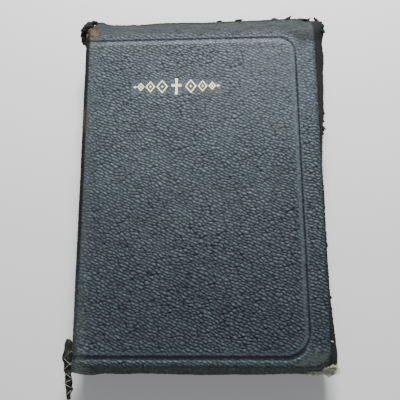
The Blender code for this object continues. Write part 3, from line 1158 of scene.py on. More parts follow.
DROOPS = {
    Side.FRONT: Droop(
        51.0, (Swell(20.0, 13.0, 34.0), Swell(15.0, -45.0, 34.0)), 26.0, 54.0, 25.0, 47.0
    ),
    Side.REAR: Droop(62.0, (Swell(8.0, 0.0, 50.0),), 60.0, 60.0, 42.0, 42.0),
}

# Where the front cover's drooping fore-edge is worn shorter or stands out further
FORE_SWELLS = (
    Swell(-2.9, 13.0, 32.0),
    Swell(-2.0, -45.0, 31.0),
    Swell(1.0, 46.0, 4.5),
    Swell(-0.8, -31.0, 1.6),
    Swell(-2.2, -42.0, 36.0),
)


@dataclass
class Zones:
    """Positions on a cover, and the places there that wear in their own way, from 0 to 1.

    edge is how near each is to the cut edge, outside is the distance past the tooled line, and
    streaks run along the two end borders.
    """

    u: Array
    v: Array
    edge: Array
    outside: Array
    head: Array
    tail: Array
    spine: Array
    streaks: Array


@dataclass
class CoverSkin:
    """The leather of one cover: its panel, its drooping edges, and the part that rolls onto the spine.

    A point of the flat sheet (u along X, v along Y) is carried to its place by place().
    """

    side: Side
    fore_x: float = 62.8
    corner: float = 7.0
    bend: float = 2.6
    step: float = 0.42
    roll_x: float = -69.4
    roll_radius: float = 2.8
    roll_length: float = 7.6
    turn_at: float = -70.1
    leather: float = 1.0
    flap_leather: float = 1.4
    corner_power: float = 8.0
    grain: float = 0.86
    roll_lean: float = 84.0
    flap: float = 12.0
    lining_step: float = 2.4
    lining_trim: float = 2.2
    lining_depths: tuple[float, float] = (1.95, 2.3)
    seed: int = 11

    def __post_init__(self) -> None:
        """Makes the noise fields."""
        self.noise = Noise(self.seed)
        self.pebbles = Pebbles(seed=self.seed)
        self.line = ToolLine()

    # -- outline of the sheet

    def fore_length(self, v: Array) -> Array:
        """Length of the drooping fore-edge at height v along the cover.

        Args:
            v: flat positions along Y.

        Returns:
            One length for each position.
        """
        if self.side is Side.REAR:
            return 11.5 + 0.4 * self.noise.at(v, v * 0 + 3.0, 14.0)
        length = 13.8 + sum(swell.at(v) for swell in FORE_SWELLS) - 2.0 * ease((v - 82.0) / 10.0)
        return length + 0.35 * self.noise.layered(v, v * 0 + 3.0, 7.0)

    def end_length(self, u: Array, end: End) -> Array:
        """Length of the drooping edge at the head or the tail.

        Args:
            u: flat positions along X.
            end: the head or the tail.

        Returns:
            One length for each position.
        """
        along = ease((u - HINGE_X) / 18.0)
        if self.side is Side.REAR:
            return 8.0 + 3.2 * along + 0.3 * self.noise.at(u, u * 0 + 8.0, 11.0)
        if end is End.HEAD:
            length = 3.2 + 9.0 * ease((u + 72.0) / 10.0) + 1.5 * ease((u + 30.0) / 70.0)
            length = length - 0.5 * bell(u + 50.0, 9.0)
        else:
            length = 5.0 + 6.2 * along + 1.6 * bell(u - 8.0, 30.0)
        return length + 0.28 * self.noise.layered(u, u * 0 + 9.0 * end.value, 5.0)

    def rag(self, s: Array, seed: float) -> Array:
        """Fine raggedness of a cut edge, with a nick here and there.

        Args:
            s: positions along the edge.
            seed: picks the row of noise.

        Returns:
            How far the edge stands out at each position.
        """
        fine = 0.16 * self.noise.layered(s, s * 0 + seed, 1.3)
        nicks = np.clip(self.noise.at(s, s * 0 + seed + 31.0, 3.1) - 0.62, 0, 1)
        return fine - 1.6 * nicks

    def sheet_points(
        self,
        step: float,
        trim: float = 0.0,
        start: float | None = None,
        stop: float | None = None,
    ) -> tuple[Array, Array, Array]:
        """A grid over the flat sheet.

        Args:
            step: spacing of the grid.
            trim: how much shorter the drooping edges are.
            start: where the sheet begins near the spine; None takes in the part that rolls onto it.
            stop: where it ends; None goes as far as the fore-edge.

        Returns:
            u and v of each grid point, and how near it is to the cut edge, from 0 to 1.
        """
        nominal = self.flap
        low = self.roll_x - self.roll_length if start is None else start
        high = self.fore_x + nominal if stop is None else stop
        count_u = 2 * int(round((high - low) / step / 2)) + 1
        count_v = 2 * int(round(2 * (PANEL_HALF_Y + nominal) / step / 2)) + 1
        gu = np.linspace(low, high, count_u)
        gv = np.linspace(-(PANEL_HALF_Y + nominal), PANEL_HALF_Y + nominal, count_v)
        u, v = np.meshgrid(gu, gv, indexing="ij")
        past_u = np.clip((u - self.fore_x) / nominal, 0, 1)
        past_v = np.clip((np.abs(v) - PANEL_HALF_Y) / nominal, 0, 1)
        edge = np.maximum(past_u, past_v)
        reach_u = self.fore_length(np.clip(v, -PANEL_HALF_Y, PANEL_HALF_Y)) - trim
        head, tail = (self.end_length(u, end) for end in End)
        reach_v = np.where(v > 0, head, tail) - trim
        if trim == 0.0:
            reach_u = reach_u + self.rag(v, 1.0) * ease(past_u * 3 - 2)
            reach_v = reach_v + self.rag(u + 40 * np.sign(v), 5.0) * ease(past_v * 3 - 2)
        u = np.where(past_u > 0, self.fore_x + past_u * reach_u, u)
        v = np.where(past_v > 0, np.sign(v) * (PANEL_HALF_Y + past_v * reach_v), v)
        # round the sheet's two outer corners
        a = np.maximum(u - (self.fore_x - self.corner), 0)
        b = np.maximum(np.abs(v) - (PANEL_HALF_Y - self.corner), 0)
        far = np.maximum(a, b) + TINY
        square = np.hypot(a, b) / far
        power = self.corner_power
        round_reach = np.hypot(a, b) / ((a**power + b**power) ** (1 / power) + TINY)
        shrink = np.where((a > 0) & (b > 0), round_reach / np.maximum(square, TINY), 1.0)
        u = np.where(a > 0, self.fore_x - self.corner + a * shrink, u)
        v = np.where(b > 0, np.sign(v) * (PANEL_HALF_Y - self.corner + b * shrink), v)
        return u, v, edge

    # -- from the flat sheet to its place

    def droop(self, u: Array, v: Array, share: Array) -> Array:
        """How far the edge turns down there, in radians.

        Args:
            u, v: flat positions.
            share: 0 on the fore-edge, 1 at the head or tail, between at a corner.

        Returns:
            One angle for each position.
        """
        shape = DROOPS[self.side]
        fore = shape.fore + sum(swell.at(v) for swell in shape.fore_swells)
        fore = fore + 4.0 * self.noise.at(v, v * 0 + 2.0, 17.0)
        end = np.where(v > 0, shape.head, shape.tail)
        end = end + 5.0 * self.noise.at(u, np.sign(v) * 20.0, 15.0)
        end = end * ease((u - HINGE_X) / 16.0)
        corner = np.where(v > 0, shape.head_corner, shape.tail_corner)
        angle = fore * (1 - share) + end * share
        apex = np.sin(math.pi * share) ** 4
        return np.radians(angle + (corner - angle) * apex)

    def place(self, u: Array, v: Array, depth: Array) -> Array:
        """Carries flat positions to the row frame.

        Args:
            u, v: flat positions.
            depth: how far under the leather's outer face, negative above it.

        Returns:
            A copy of a carried-over CAD node, with its own material.
        """
        inner_u, inner_v = self.fore_x - self.corner, PANEL_HALF_Y - self.corner
        a, b = np.maximum(u - inner_u, 0), np.maximum(np.abs(v) - inner_v, 0)
        length = np.hypot(a, b)
        safe = np.maximum(length, TINY)
        normal_u, normal_v = a / safe, np.sign(v) * b / safe
        past = length - self.corner
        share = np.arctan2(b, np.maximum(a, TINY)) / (math.pi / 2)
        angle = np.maximum(self.droop(u, v, share), 1e-4)
        run = np.maximum(past, 0)
        arc = np.minimum(run, self.bend * angle)
        turn = arc / self.bend
        straight = run - arc
        curl = 0.5 * self.noise.at(u * 0.7, v * 0.7, 9.0) * ease(run / 10.0)
        out = (self.bend - depth) * np.sin(turn) + straight * np.cos(angle)
        down = self.bend - (self.bend - depth) * np.cos(turn) + straight * np.sin(angle) + curl
        x = u - normal_u * run + normal_u * out
        y = v - normal_v * run + normal_v * out
        # the part beyond the shoulder rolls onto the spine
        beyond = np.maximum(self.roll_x - u, 0)
        lean = math.radians(self.roll_lean)
        radius = self.roll_radius
        roll = np.minimum(beyond / radius, lean)
        rest = np.maximum(beyond - radius * lean, 0)
        rolled_x = self.roll_x - (radius - depth) * np.sin(roll) - rest * math.cos(lean)
        rolled_down = radius - (radius - depth) * np.cos(roll) + rest * math.sin(lean)
        x = np.where(beyond > 0, rolled_x, x) + spine_drift(v) * ease((-60.0 - u) / 9.0)
        down = np.where(beyond > 0, rolled_down + (down - depth), down)
        z = THICKNESS - down if self.side is Side.FRONT else down
        return np.stack([x, y, z], -1)

    # -- surface of the leather

    def surface(self, u: Array, v: Array, edge: Array) -> tuple[Array, dict[str, Array]]:
        """Relief of the grain side, and the masks of its material.

        Args:
            u, v: flat positions.
            edge: how near each is to the cut edge, from 0 to 1.

        Returns:
            Height above the flat leather, and the masks pebble, rubbed and bare.
        """
        pebble = self.pebbles.relief(u, v)
        tooling, left = self.line.relief(u, v)
        zones = self._zones(u, v, edge)
        strength = self._strength(zones, left)
        swell = 0.22 * self.noise.layered(u, v, 42.0) + 0.05 * self.noise.layered(u, v, 9.0)
        fray = 0.22 * self.noise.layered(u * 1.4, v * 1.4, 1.5) * ease((edge - 0.55) / 0.4)
        height = self.grain * strength * (pebble - 0.35) + tooling + swell
        height = height + self._creases(u, v) + fray
        # Painted shade: the turned-down fore-edge and the back are painted near black, and so is the
        # cut rim.
        painted_shade_and_dark_rim = self._painted_shade_and_dark_rim(zones)
        masks = {
            "pebble": self._tops(zones, pebble, strength, painted_shade_and_dark_rim),
            "rubbed": self._rub(zones) * (1 - 0.9 * painted_shade_and_dark_rim),
            "bare": self._bare(u, v, edge),
        }
        return height, masks

    def _zones(self, u: Array, v: Array, edge: Array) -> Zones:
        """Where the borders past the tooled line and the back begin.

        Args:
            u, v: flat positions.
            edge: how near each is to the cut edge, from 0 to 1.

        Returns:
            The zones, one value for each position.
        """
        outside = self.line.outside(u, v)
        past_line = ease((outside - 1.5) / 4.0 + 0.35 * self.noise.layered(u, v, 5.0))
        head = past_line * ease((v - 82.0) / 9.0)
        tail = past_line * ease((-v - 82.0) / 8.0)
        spine = ease((HINGE_X + 10.0 - u) / 10.0 + 0.3 * self.noise.layered(u, v, 9.0))
        streaks = self.noise.at(u, v * 0.22, 0.9) * tail + self.noise.at(u * 0.22, v, 0.9) * head
        return Zones(u, v, edge, outside, head, tail, spine, streaks)

    def _strength(self, zones: Zones, left: Array) -> Array:
        """How much of the grain is left.

        Args:
            zones: the positions and their zones.
            left: grain left beside the tooled line.

        Returns:
            One share for each position, about 1 where the leather is unworn.
        """
        u, v = zones.u, zones.v
        strength = 0.7 + 0.3 * ease((u * 0.5 - v + 45.0) / 130.0)
        strength = strength * (1 - 0.6 * bell(u - 46.0, 34.0) * bell(v - 74.0, 32.0))
        for zone, loss in ((zones.head, 0.6), (zones.tail, 0.65), (zones.spine, 0.45)):
            strength = strength * (1 - loss * zone)
        strength = strength * left * (1 - 0.4 * ease((zones.edge - 0.1) / 0.5))
        strength = strength * (1 - 0.9 * self.stamped(u, v))
        return strength * (1 + 0.2 * self.noise.layered(u, v, 16.0))

    def _rub(self, zones: Zones) -> Array:
        """Where handling has worn the dye to a green-grey.

        Args:
            zones: the positions and their zones.

        Returns:
            One value from 0 to 1 for each position.
        """
        speckle = np.clip(self.noise.layered(zones.u, zones.v, 1.4), 0, 1)
        rub = 0.3 * zones.head + 0.8 * zones.tail + (0.55 + speckle) * zones.spine
        rub = rub + 0.3 * ease(zones.edge * 1.6)
        cloud = 0.35 * self.noise.layered(zones.u, zones.v, 6.0) * (rub > 0.05)
        return np.clip(rub + cloud + 0.4 * zones.streaks, 0, 1)

    def _painted_shade_and_dark_rim(self, zones: Zones) -> Array:
        """Painted shade: near black over the turned-down fore-edge and the back of the roll, which face
        away from the light, and near black along the cut rim.

        Args:
            zones: the positions and their zones.

        Returns:
            One value from 0 to 1 for each position.
        """
        fore = ease((zones.u - self.fore_x - 1.6) / 2.0)
        back = ease((-68.8 - zones.u) / 1.1) * (1 - 0.4 * ease((-40.0 - zones.v) / 40.0))
        return np.maximum(np.maximum(fore, back), ease((zones.edge - 0.75) / 0.25))

    def _tops(self, zones: Zones, pebble: Array, strength: Array, painted_shade_and_dark_rim: Array) -> Array:
        """How pale the leather is painted at each place: pale pebble tops and painted shade in the
        creases, with the painted light and shade marked below.

        Args:
            zones: the positions and their zones.
            pebble: height of the grain.
            strength: how much of the grain is left.
            painted_shade_and_dark_rim: where it is painted near black, as shade on the turned-down
                fore-edge and the back, and along the cut rim.

        Returns:
            One value from 0 to 1 for each position.
        """
        u, v, outside = zones.u, zones.v, zones.outside
        # Painted shade: the colour follows the grain's height, so the creases are painted dark.
        tops = 0.3 * (1 - strength) + pebble * (0.6 + 0.4 * strength) + 0.2 * zones.streaks
        # The head border is darker; the tooled line is darkened in colour as painted shade in its
        # groove.
        tops = tops * (1 - 0.5 * zones.head) - (0.7 - 0.35 * (v > 80)) * bell(outside, 0.42)
        # Painted light: the colour grows paler towards the head, where the light falls, and darker
        # towards the tail.
        tops = tops * (1.06 - 0.27 * ease((55.0 - v) / 140.0))
        # Painted light and shade at the tail's tooled line: a pale highlight on its ridge and a dark
        # shade in its groove.
        painted_ridge_highlight, painted_groove_shade = 0.5 * bell(outside - 1.9, 0.45), 0.55 * bell(outside - 0.2, 1.0)
        tops = tops + ease((-v - 84.0) / 4.0) * (painted_ridge_highlight - painted_groove_shade)
        worn_back = ease((-u - 60.0) / 7.0) * ease((-v - 5.0) / 60.0)
        chafed = np.clip(self.noise.layered(u, v, 0.9) - 0.15, 0, 1)
        tops = tops + 1.5 * chafed * np.maximum(worn_back, 0.7 * zones.tail)
        # Painted sheen: a pale band just inside the tooled line.
        tops = np.clip(tops + 0.1 * bell(outside + 2.0, 1.2), 0, 1)
        return tops * (1 - 0.97 * painted_shade_and_dark_rim * (1 - 0.5 * worn_back))

    def stamped(self, u: Array, v: Array) -> Array:
        """Where the hot stamp has pressed the grain flat under the gold.

        Args:
            u, v: flat positions.

        Returns:
            1 under the gold and 0 away from it.
        """
        if self.side is Side.REAR:
            return np.zeros(np.shape(u))
        x, y = STAMP_CENTRE
        wide, tall = np.abs(u - x) - 26.0, np.abs(v - y) - 3.8
        return (1 - ease(wide / 1.5)) * (1 - ease(tall / 1.4))

    def _creases(self, u: Array, v: Array) -> Array:
        """A few soft folds across the cover.

        Args:
            u, v: flat positions.

        Returns:
            One height for each position, 0 or below.
        """
        fold = -0.10 * bell((v - 66.5) + 0.14 * (u - 40.0), 0.9) * bell(u - 37.0, 14.0)
        hinge = -0.10 * bell(u - (HINGE_X + 6.5) - 0.8 * self.noise.at(v, v * 0, 30.0), 2.2)
        return fold + hinge

    def _bare(self, u: Array, v: Array, edge: Array) -> Array:
        """Where the dye has gone and the hide shows.

        Args:
            u, v: flat positions.
            edge: how near each is to the cut edge, from 0 to 1.

        Returns:
            One value from 0 to 1 for each position.
        """
        if self.side is Side.REAR:
            return 0.5 * ease((edge - 0.8) / 0.2)
        head_patch = 0.7 * bell(u + 67.0, 2.6) * bell(v - 95.5, 3.2)
        spine_spot = 0.8 * bell(u + 72.0, 1.8) * bell(v - 41.0, 6.0)
        tail_rim = 0.55 * ease((edge - 0.72) / 0.25) * (v < -PANEL_HALF_Y)
        fleck = np.clip(0.35 + 1.3 * self.noise.layered(u, v, 1.6), 0, 1)
        fore_tail = 0.45 * fleck * bell(u - 71.0, 7.0) * ease((-v - 96.0) / 3.0)
        rim = 0.3 * ease((edge - 0.9) / 0.1)
        return np.clip(head_patch + spine_spot + tail_rim + fore_tail + rim, 0, 1)

    def build_leather(self, material: Material, turn: bool = False) -> Piece:
        """The leather as one closed mesh: a fine outer face, a coarser inner one and a rim between.

        Args:
            material: its finish.
            turn: True for the strip that turns onto the spine, False for all the rest.

        Returns:
            The mesh object.
        """
        limits = (None, self.turn_at) if turn else (self.turn_at, None)
        u, v, edge = self.sheet_points(self.step, 0.0, *limits)
        height, masks = self.surface(u, v, edge)
        rows, columns = u.shape
        border = np.zeros(u.shape, bool)
        border[0 if turn else -1], border[:, 0], border[:, -1] = True, True, True
        thick = self.leather + (self.flap_leather - self.leather) * ease(edge * 4)
        thick = thick - 0.5 * ease((self.roll_x - 2.0 - u) / 4.0)
        top = np.where(border, 0.3 * thick, -height)
        outer = self.place(u, v, top).reshape(-1, 3)
        iu, iv, inner_thick = u[::2, ::2], v[::2, ::2], thick[::2, ::2]
        inner_depth = np.where(border[::2, ::2], 0.75 * inner_thick, inner_thick)
        inner = self.place(iu, iv, inner_depth).reshape(-1, 3)
        r2, c2 = iu.shape
        start = len(outer)
        flip = self.side is Side.REAR
        faces = grid_faces(rows, columns, 0, flip).tolist()
        faces += grid_faces(r2, c2, start, not flip).tolist()
        ring, inner_ring = rim_indices(rows, columns), rim_indices(r2, c2, start)
        rim = []
        for k in range(len(inner_ring)):
            o0, o1, o2 = ring[2 * k], ring[2 * k + 1], ring[(2 * k + 2) % len(ring)]
            i0, i1 = inner_ring[k], inner_ring[(k + 1) % len(inner_ring)]
            rim += [[o0, i0, o1], [o1, i0, i1], [o1, i1, o2]]
        if flip:
            rim = [triangle[::-1] for triangle in rim]
        flat = np.concatenate([np.stack(pair, -1).reshape(-1, 2) for pair in ((u, v), (iu, iv))])
        both = {}
        for key, values in masks.items():
            inside = np.full(iu.size, 1.0 if key == "bare" else 0.4)
            both[key] = np.concatenate([values.ravel(), inside])
        name = f"{self.side.value}_spine_turn" if turn else f"{self.side.value}_leather_skin"
        points = np.concatenate([outer, inner])
        return new_mesh(name, points, faces + rim, material, flat, both)

    def build_lining(self, material: Material) -> Piece:
        """The lining paper inside the leather, short of its cut edge.

        Args:
            material: its finish.

        Returns:
            The mesh object.
        """
        u, v, _ = self.sheet_points(self.lining_step, self.lining_trim, HINGE_X + 3.4)
        sheets = [
            self.place(u, v, np.full(u.shape, depth)).reshape(-1, 3) for depth in self.lining_depths
        ]
        faces = slab_faces(*u.shape, flip=self.side is Side.REAR)
        return new_mesh(f"{self.side.value}_lining", np.concatenate(sheets), faces, material)


@dataclass
class Cover:
    """One cover: leather, lining and board, with the lining on the cover's body and the spine turn on
    its half.
    """

    skin: CoverSkin
    materials: Materials

    def build(self) -> None:
        """Makes the leather and lining, and dresses the board."""
        side = self.skin.side.value
        half = f"{side}_half"
        leather = self.skin.build_leather(self.materials.leather)
        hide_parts(f"{side}_cover_leather")
        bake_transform(leather)
        turn = self.skin.build_leather(self.materials.leather, turn=True)
        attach(turn, half)
        lining = self.skin.build_lining(self.materials.lining)
        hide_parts(f"{side}_cover_lining")
        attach(lining, f"{side}_cover")
        dress_node(f"{side}_board", self.materials.card)
        LOG.info("%s cover: %d vertices of leather", side, len(leather.data.vertices))


# --- ornament


@dataclass
class Ornament:
    """Gold tooling on the front cover: a small cross between two sprays of lozenges."""

    skin: CoverSkin
    materials: Materials
    centre: tuple[float, float] = STAMP_CENTRE
    foil: float = 0.1
    sunk: float = 0.15
    step: float = 0.8

    def strokes(self) -> list[list[tuple[float, float]]]:
        """Outlines of the ornament's separate stamps, about its centre.

        Returns:
            One closed outline for each stamp.
        """
        shapes = [self._cross()]
        for sign in (-1.0, 1.0):
            for x, half_width, half_height in ((8.4, 3.4, 4.2), (15.3, 2.9, 3.5), (20.9, 2.2, 2.6)):
                shapes.append(self._ring(sign * x, half_width, half_height))
                shapes.append(self._lozenge(sign * x, 0.7, 0.95))
            shapes.append(self._lozenge(sign * 24.3, 1.3, 0.7))
        return shapes

    def _cross(self) -> list[tuple[float, float]]:
        """A plain cross with flared arms.

        Returns:
            Its outline.
        """
        arm = [(0.6, 0.6), (0.85, 4.3), (-0.85, 4.3)]
        points = []
        for turn, reach in ((0, 1.0), (1, 0.66), (2, 1.3), (3, 0.66)):
            for x, y in arm:
                y = y * reach if y > 1 else y
                for _ in range(turn):
                    x, y = -y, x
                points.append((x, y + 0.6))
        return points

    def _lozenge(self, x: float, half_width: float, half_height: float) -> list[tuple[float, float]]:
        """A solid lozenge."""
        return [(x + half_width, 0.0), (x, half_height), (x - half_width, 0.0), (x, -half_height)]

    def _ring(self, x: float, half_width: float, half_height: float) -> list[tuple[float, float]]:
        """A lozenge drawn as a line, cut open at its left tip so that it is one outline.

        Args:
            x: its middle.
            half_width: half its width.
            half_height: half its height.

        Returns:
            Its outline.
        """
        slit = 0.03
        wall = 0.72 * 1.35
        wide, tall = half_width, half_height
        outer = [(-wide, slit), (0, tall), (wide, 0), (0, -tall), (-wide, -slit)]
        wide, tall = half_width - wall, half_height - wall
        inner = [(-wide, -slit), (0, -tall), (wide, 0), (0, tall), (-wide, slit)]
        return [(x + a, b) for a, b in outer[::-1] + inner[::-1]]

    def build(self) -> None:
        """Stamps every outline as thin foil that follows the leather."""
        parts = []
        for outline in self.strokes():
            fine = []
            for (x0, y0), (x1, y1) in zip(outline, outline[1:] + outline[:1]):
                run, rise = x1 - x0, y1 - y0
                steps = max(1, int(math.hypot(run, rise) / self.step))
                fine += [(x0 + run * k / steps, y0 + rise * k / steps) for k in range(steps)]
            u = np.array([p[0] for p in fine]) + self.centre[0]
            v = np.array([p[1] for p in fine]) + self.centre[1]
            count = len(fine)
            leather, _ = self.skin.surface(u, v, np.zeros(count))
            lower = self.skin.place(u, v, self.sunk - leather)
            upper = self.skin.place(u, v, -leather - self.foil)
            faces = [list(range(count, 2 * count)), list(range(count))[::-1]]
            faces += ring_walls(2, count)
            parts.append((np.concatenate([lower, upper]), faces))
        points, faces = join_parts(parts)
        foil = new_mesh("gilt_tooling", points, faces, self.materials.foil, smooth=False)
        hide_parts("gilt_ornament")
        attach(foil, "front_cover")
        LOG.info("gilt ornament: %d stamps", len(parts))


# --- spine


@dataclass
class Spine:
    """Everything over the folds: leather, linings, tapes, stitches, endbands and torn ends."""

    materials: Materials
    crown: float = 1.8
    outer_x: float = -72.1
    low_z: float = 2.6
    leather: float = 0.95
    fold_crown: float = 2.5
    fold_half: float = 12.8
    seed: int = 23

    def outer(self, z: Array) -> Array:
        """Outside of the spine leather at height z."""
        share = (z - MID_Z) / (MID_Z - self.low_z)
        return self.outer_x - self.crown * (1 - share * share)

    def bends(self, piece: Piece, slot: str, *nodes: str) -> None:
        """Hides the CAD nodes that a piece stands for, and bakes the piece's place into its mesh.

        Args:
            piece: the piece.
            slot: the slot of its material; not used.
            nodes: the CAD nodes that it stands for.
        """
        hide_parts(*nodes)
        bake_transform(piece)

    def build(self) -> None:
        """Makes every piece of the spine."""
        self._leather()
        self._copied_layers()
        for end in End:
            self._kettle(end)
            self._endband(end)
        self._headcap()
        self._tail_strip()
        LOG.info("spine: leather, linings, tapes, endbands and torn ends")

    def _leather(self) -> None:
        """The spine's leather, ragged at both ends."""
        noise = Noise(self.seed)
        rows, columns = 37, 331
        z = np.linspace(self.low_z, THICKNESS - self.low_z, rows)
        y = np.linspace(-1, 1, columns)
        zz, yy = np.meshgrid(z, y, indexing="ij")
        head = 94.5 - 2.6 * np.abs(noise.layered(zz, zz * 0, 5.0)) - 1.5 * ease((zz - 15) / 10)
        tail = 96.0 + 1.2 * noise.layered(zz, zz * 0 + 9, 4.0)
        vv = np.where(yy > 0, yy * head, yy * tail)
        edge = ease((np.abs(yy) - 0.93) / 0.07)
        pebble = Pebbles(seed=self.seed).relief(zz, vv)
        wear = np.clip(0.35 + 0.5 * noise.layered(zz, vv, 14.0) + 0.6 * edge, 0, 1)
        height = 0.16 * (pebble - 0.4) * (1 - 0.6 * wear) + 0.12 * noise.layered(zz, vv, 22.0)
        height = height + 0.15 * noise.layered(zz, vv, 1.6) * edge
        sheets = []
        for depth in (-height, np.full(zz.shape, self.leather)):
            place = self.outer(zz) + depth + spine_drift(vv)
            sheets.append(np.stack([place, vv, zz], -1).reshape(-1, 3))
        faces = slab_faces(rows, columns, flip=True)
        inside = rows * columns
        # The pebble mask paints the grain's creases dark as shade, as on the covers.
        masks = {
            "pebble": np.concatenate([pebble.ravel() * 0.8, np.full(inside, 0.4)]),
            "rubbed": np.concatenate([wear.ravel(), np.ones(inside)]),
            "bare": np.concatenate([(0.5 * edge).ravel(), np.ones(inside)]),
        }
        flat = np.tile(np.stack([zz, vv], -1).reshape(-1, 2), (2, 1))
        points = np.concatenate(sheets)
        skin = new_mesh("spine_skin", points, faces, self.materials.leather, flat, masks)
        self.bends(skin, "cover_leather", "spine_leather")

    def _copied_layers(self) -> None:
        """The hidden layers keep the solids' shape."""
        layers = {
            "spine_paper_lining": (self.materials.spine_paper, "spine_paper"),
            "spine_mull": (self.materials.mull, "linen"),
            "sewing_tape_head": (self.materials.tape, "linen"),
            "sewing_tape_middle": (self.materials.tape, "linen"),
            "sewing_tape_tail": (self.materials.tape, "linen"),
        }
        for node, (material, slot) in layers.items():
            self.bends(copy_node(node, "bent", material), slot, node)

    def _kettle(self, end: End) -> None:
        """A chain of linked stitches across the folds.

        Args:
            end: the head or the tail.
        """
        name = f"kettle_stitch_{end.name.lower()}"
        low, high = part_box(name)
        y = (low[1] + high[1]) / 2 / MM
        links = 24
        parts = []
        for k in range(links):
            t = np.linspace(0, 1, 9)
            z = 3.4 + (THICKNESS - 6.8) * (k + t * 1.25) / links
            x = self.fold_x(z) - 0.15 - 0.25 * np.sin(math.pi * t)
            sway = y + 0.32 * np.sin(2 * math.pi * t)
            parts.append(tube(np.stack([x, sway, z], -1), 0.17, 5))
        points, faces = join_parts(parts)
        chain = new_mesh(f"linked_{name}", points, faces, self.materials.thread)
        self.bends(chain, "linen", name)

    def fold_x(self, z: Array) -> Array:
        """Where the folds of the sections lie at height z."""
        share = (z - MID_Z) / self.fold_half
        return HINGE_X + self.fold_crown * share * share

    def _endband(self, end: End) -> None:
        """Silk wound round a cord, in two colours by turns.

        Args:
            end: the head or the tail.
        """
        name = "headband" if end is End.HEAD else "tailband"
        turns, sides, bead_sides = 26, 12, 8
        count = turns * 6
        t = np.linspace(0, 1, count)
        z = 3.8 + (THICKNESS - 7.6) * t
        path = np.stack([self.fold_x(z) + 0.25, np.full(count, end.value * 93.4), z], -1)
        radius = 0.92 + 0.16 * np.abs(np.sin(math.pi * turns * t))
        points, faces = tube(path, radius, sides)
        odd = np.floor(t * turns) % 2
        bead_path = path + [-0.75, -end.value * 0.75, 0.0]
        bead_radius = 0.32 + 0.07 * np.sin(2 * math.pi * turns * t)
        points, faces = join_parts([(points, faces), tube(bead_path, bead_radius, bead_sides)])
        wind = np.concatenate([np.repeat(1 - odd, sides), np.repeat(odd, bead_sides)])
        band = new_mesh(f"wound_{name}", points, faces, self.materials.silk, masks={"wind": wind})
        self.bends(band, "endband_silk", name)

    def _headcap(self) -> None:
        """Matted rags round the torn cap, with the bare hide between them."""
        rng = np.random.default_rng(self.seed + 4)
        rags = [
            ((-74.6, 93.0, 24.2), (3.4, 1.7), (25, -50, 80)),
            ((-75.2, 90.2, 23.0), (2.9, 1.5), (-15, -62, 96)),
            ((-74.4, 96.3, 25.0), (2.4, 1.6), (30, -30, 60)),
            ((-72.6, 98.6, 25.8), (2.5, 1.3), (20, -20, 20)),
            ((-69.6, 99.6, 26.2), (2.6, 1.1), (28, 5, -8)),
            ((-66.4, 99.4, 26.4), (2.3, 1.0), (25, 12, -20)),
            ((-73.6, 87.3, 22.2), (2.6, 1.1), (0, -70, 92)),
            ((-74.0, 94.8, 20.5), (3.0, 2.0), (50, -40, 40)),
            ((-71.5, 96.5, 20.0), (3.2, 2.2), (75, 0, 10)),
            ((-70.8, 95.9, 26.6), (2.7, 1.6), (24, -18, 30)),
        ]
        parts = [
            flake(rng, (x + 0.4, y + 5.0, z), (1.15 * size[0], 1.2 * size[1]), tilt, 1.1)
            for (x, y, z), size, tilt in rags
        ]
        points, faces = join_parts(parts)
        cap = new_mesh("matted_headcap", points, faces, self.materials.rag)
        self.bends(cap, "worn_leather", "torn_headcap")
        scraps = [
            ((-69.0, 97.0, 29.7), (2.0, 1.4), (8, -6, 70)),
            ((-67.4, 94.6, 30.1), (1.4, 0.9), (4, 3, 110)),
            ((-70.4, 94.0, 29.5), (1.5, 0.9), (0, -22, 90)),
        ]
        points, faces = join_parts([flake(rng, *scrap, thick=0.5) for scrap in scraps])
        hide = new_mesh("exposed_hide", points, faces, self.materials.hide)
        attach(hide, "front_cover")

    def _tail_strip(self) -> None:
        """The strip torn loose at the tail, with threads crossing it."""
        rng = np.random.default_rng(self.seed + 9)
        noise = Noise(self.seed + 10)
        rows, columns = 64, 9
        t = np.linspace(0, 1, rows)[:, None]
        s = np.linspace(-1, 1, columns)[None, :]
        y = -82.0 - 32.0 * t + 0 * s
        half = 2.5 * np.sqrt(ease(0.08 + t * 9.0)) * (1 - 0.42 * ease((t - 0.3) / 0.6))
        half = half * (1 + 0.22 * noise.at(t * 30, s * 0, 2.0)) * (1 - 0.4 * ease((t - 0.88) / 0.12))
        x = -75.6 - 0.7 * np.sin(3.0 * t) + half * s
        x = x + 0.35 * noise.layered(t * 32, s * 4 + 7, 2.2)
        z = 24.6 - 3.4 * t + 0.8 * np.sin(7.0 * t) + 0.7 * (1 - s * s)
        z = z + 0.35 * noise.layered(t * 32, s * 4, 1.8)
        sheets = [np.stack([x, y, z + lift], -1).reshape(-1, 3) for lift in (0.45, -0.45)]
        parts = [(np.concatenate(sheets), slab_faces(rows, columns))]
        for k in range(9):
            centre = (-75.9 + rng.uniform(-1.5, 1.5), -84.0 - 3.2 * k, 24.6 - 0.35 * k)
            tilt = (rng.uniform(-25, 25), rng.uniform(-25, 25), 90 + rng.uniform(-35, 35))
            parts.append(flake(rng, centre, (1.9, 0.9), tilt, 0.7))
        points, faces = join_parts(parts)
        strip = new_mesh("matted_tail_strip", points, faces, self.materials.rag)
        self.bends(strip, "worn_leather", "torn_tail_strip")
        threads = []
        for k in range(7):
            y0 = -90.0 - 3.4 * k + rng.uniform(-0.8, 0.8)
            rise = rng.uniform(1.5, 4.5) * (-1) ** k
            reach = np.linspace(-1, 1, 9) if k % 3 else np.linspace(-0.3, 1, 9)
            height = 26.4 - 0.09 * (-82.0 - y0) - 0.5 * reach**2
            path = np.stack([-75.9 + 2.2 * reach, y0 + rise * reach / 2, height], -1)
            threads.append(tube(path, 0.1, 5))
        points, faces = join_parts(threads)
        crossing = new_mesh("strip_threads", points, faces, self.materials.thread)
        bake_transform(crossing)


# --- text block


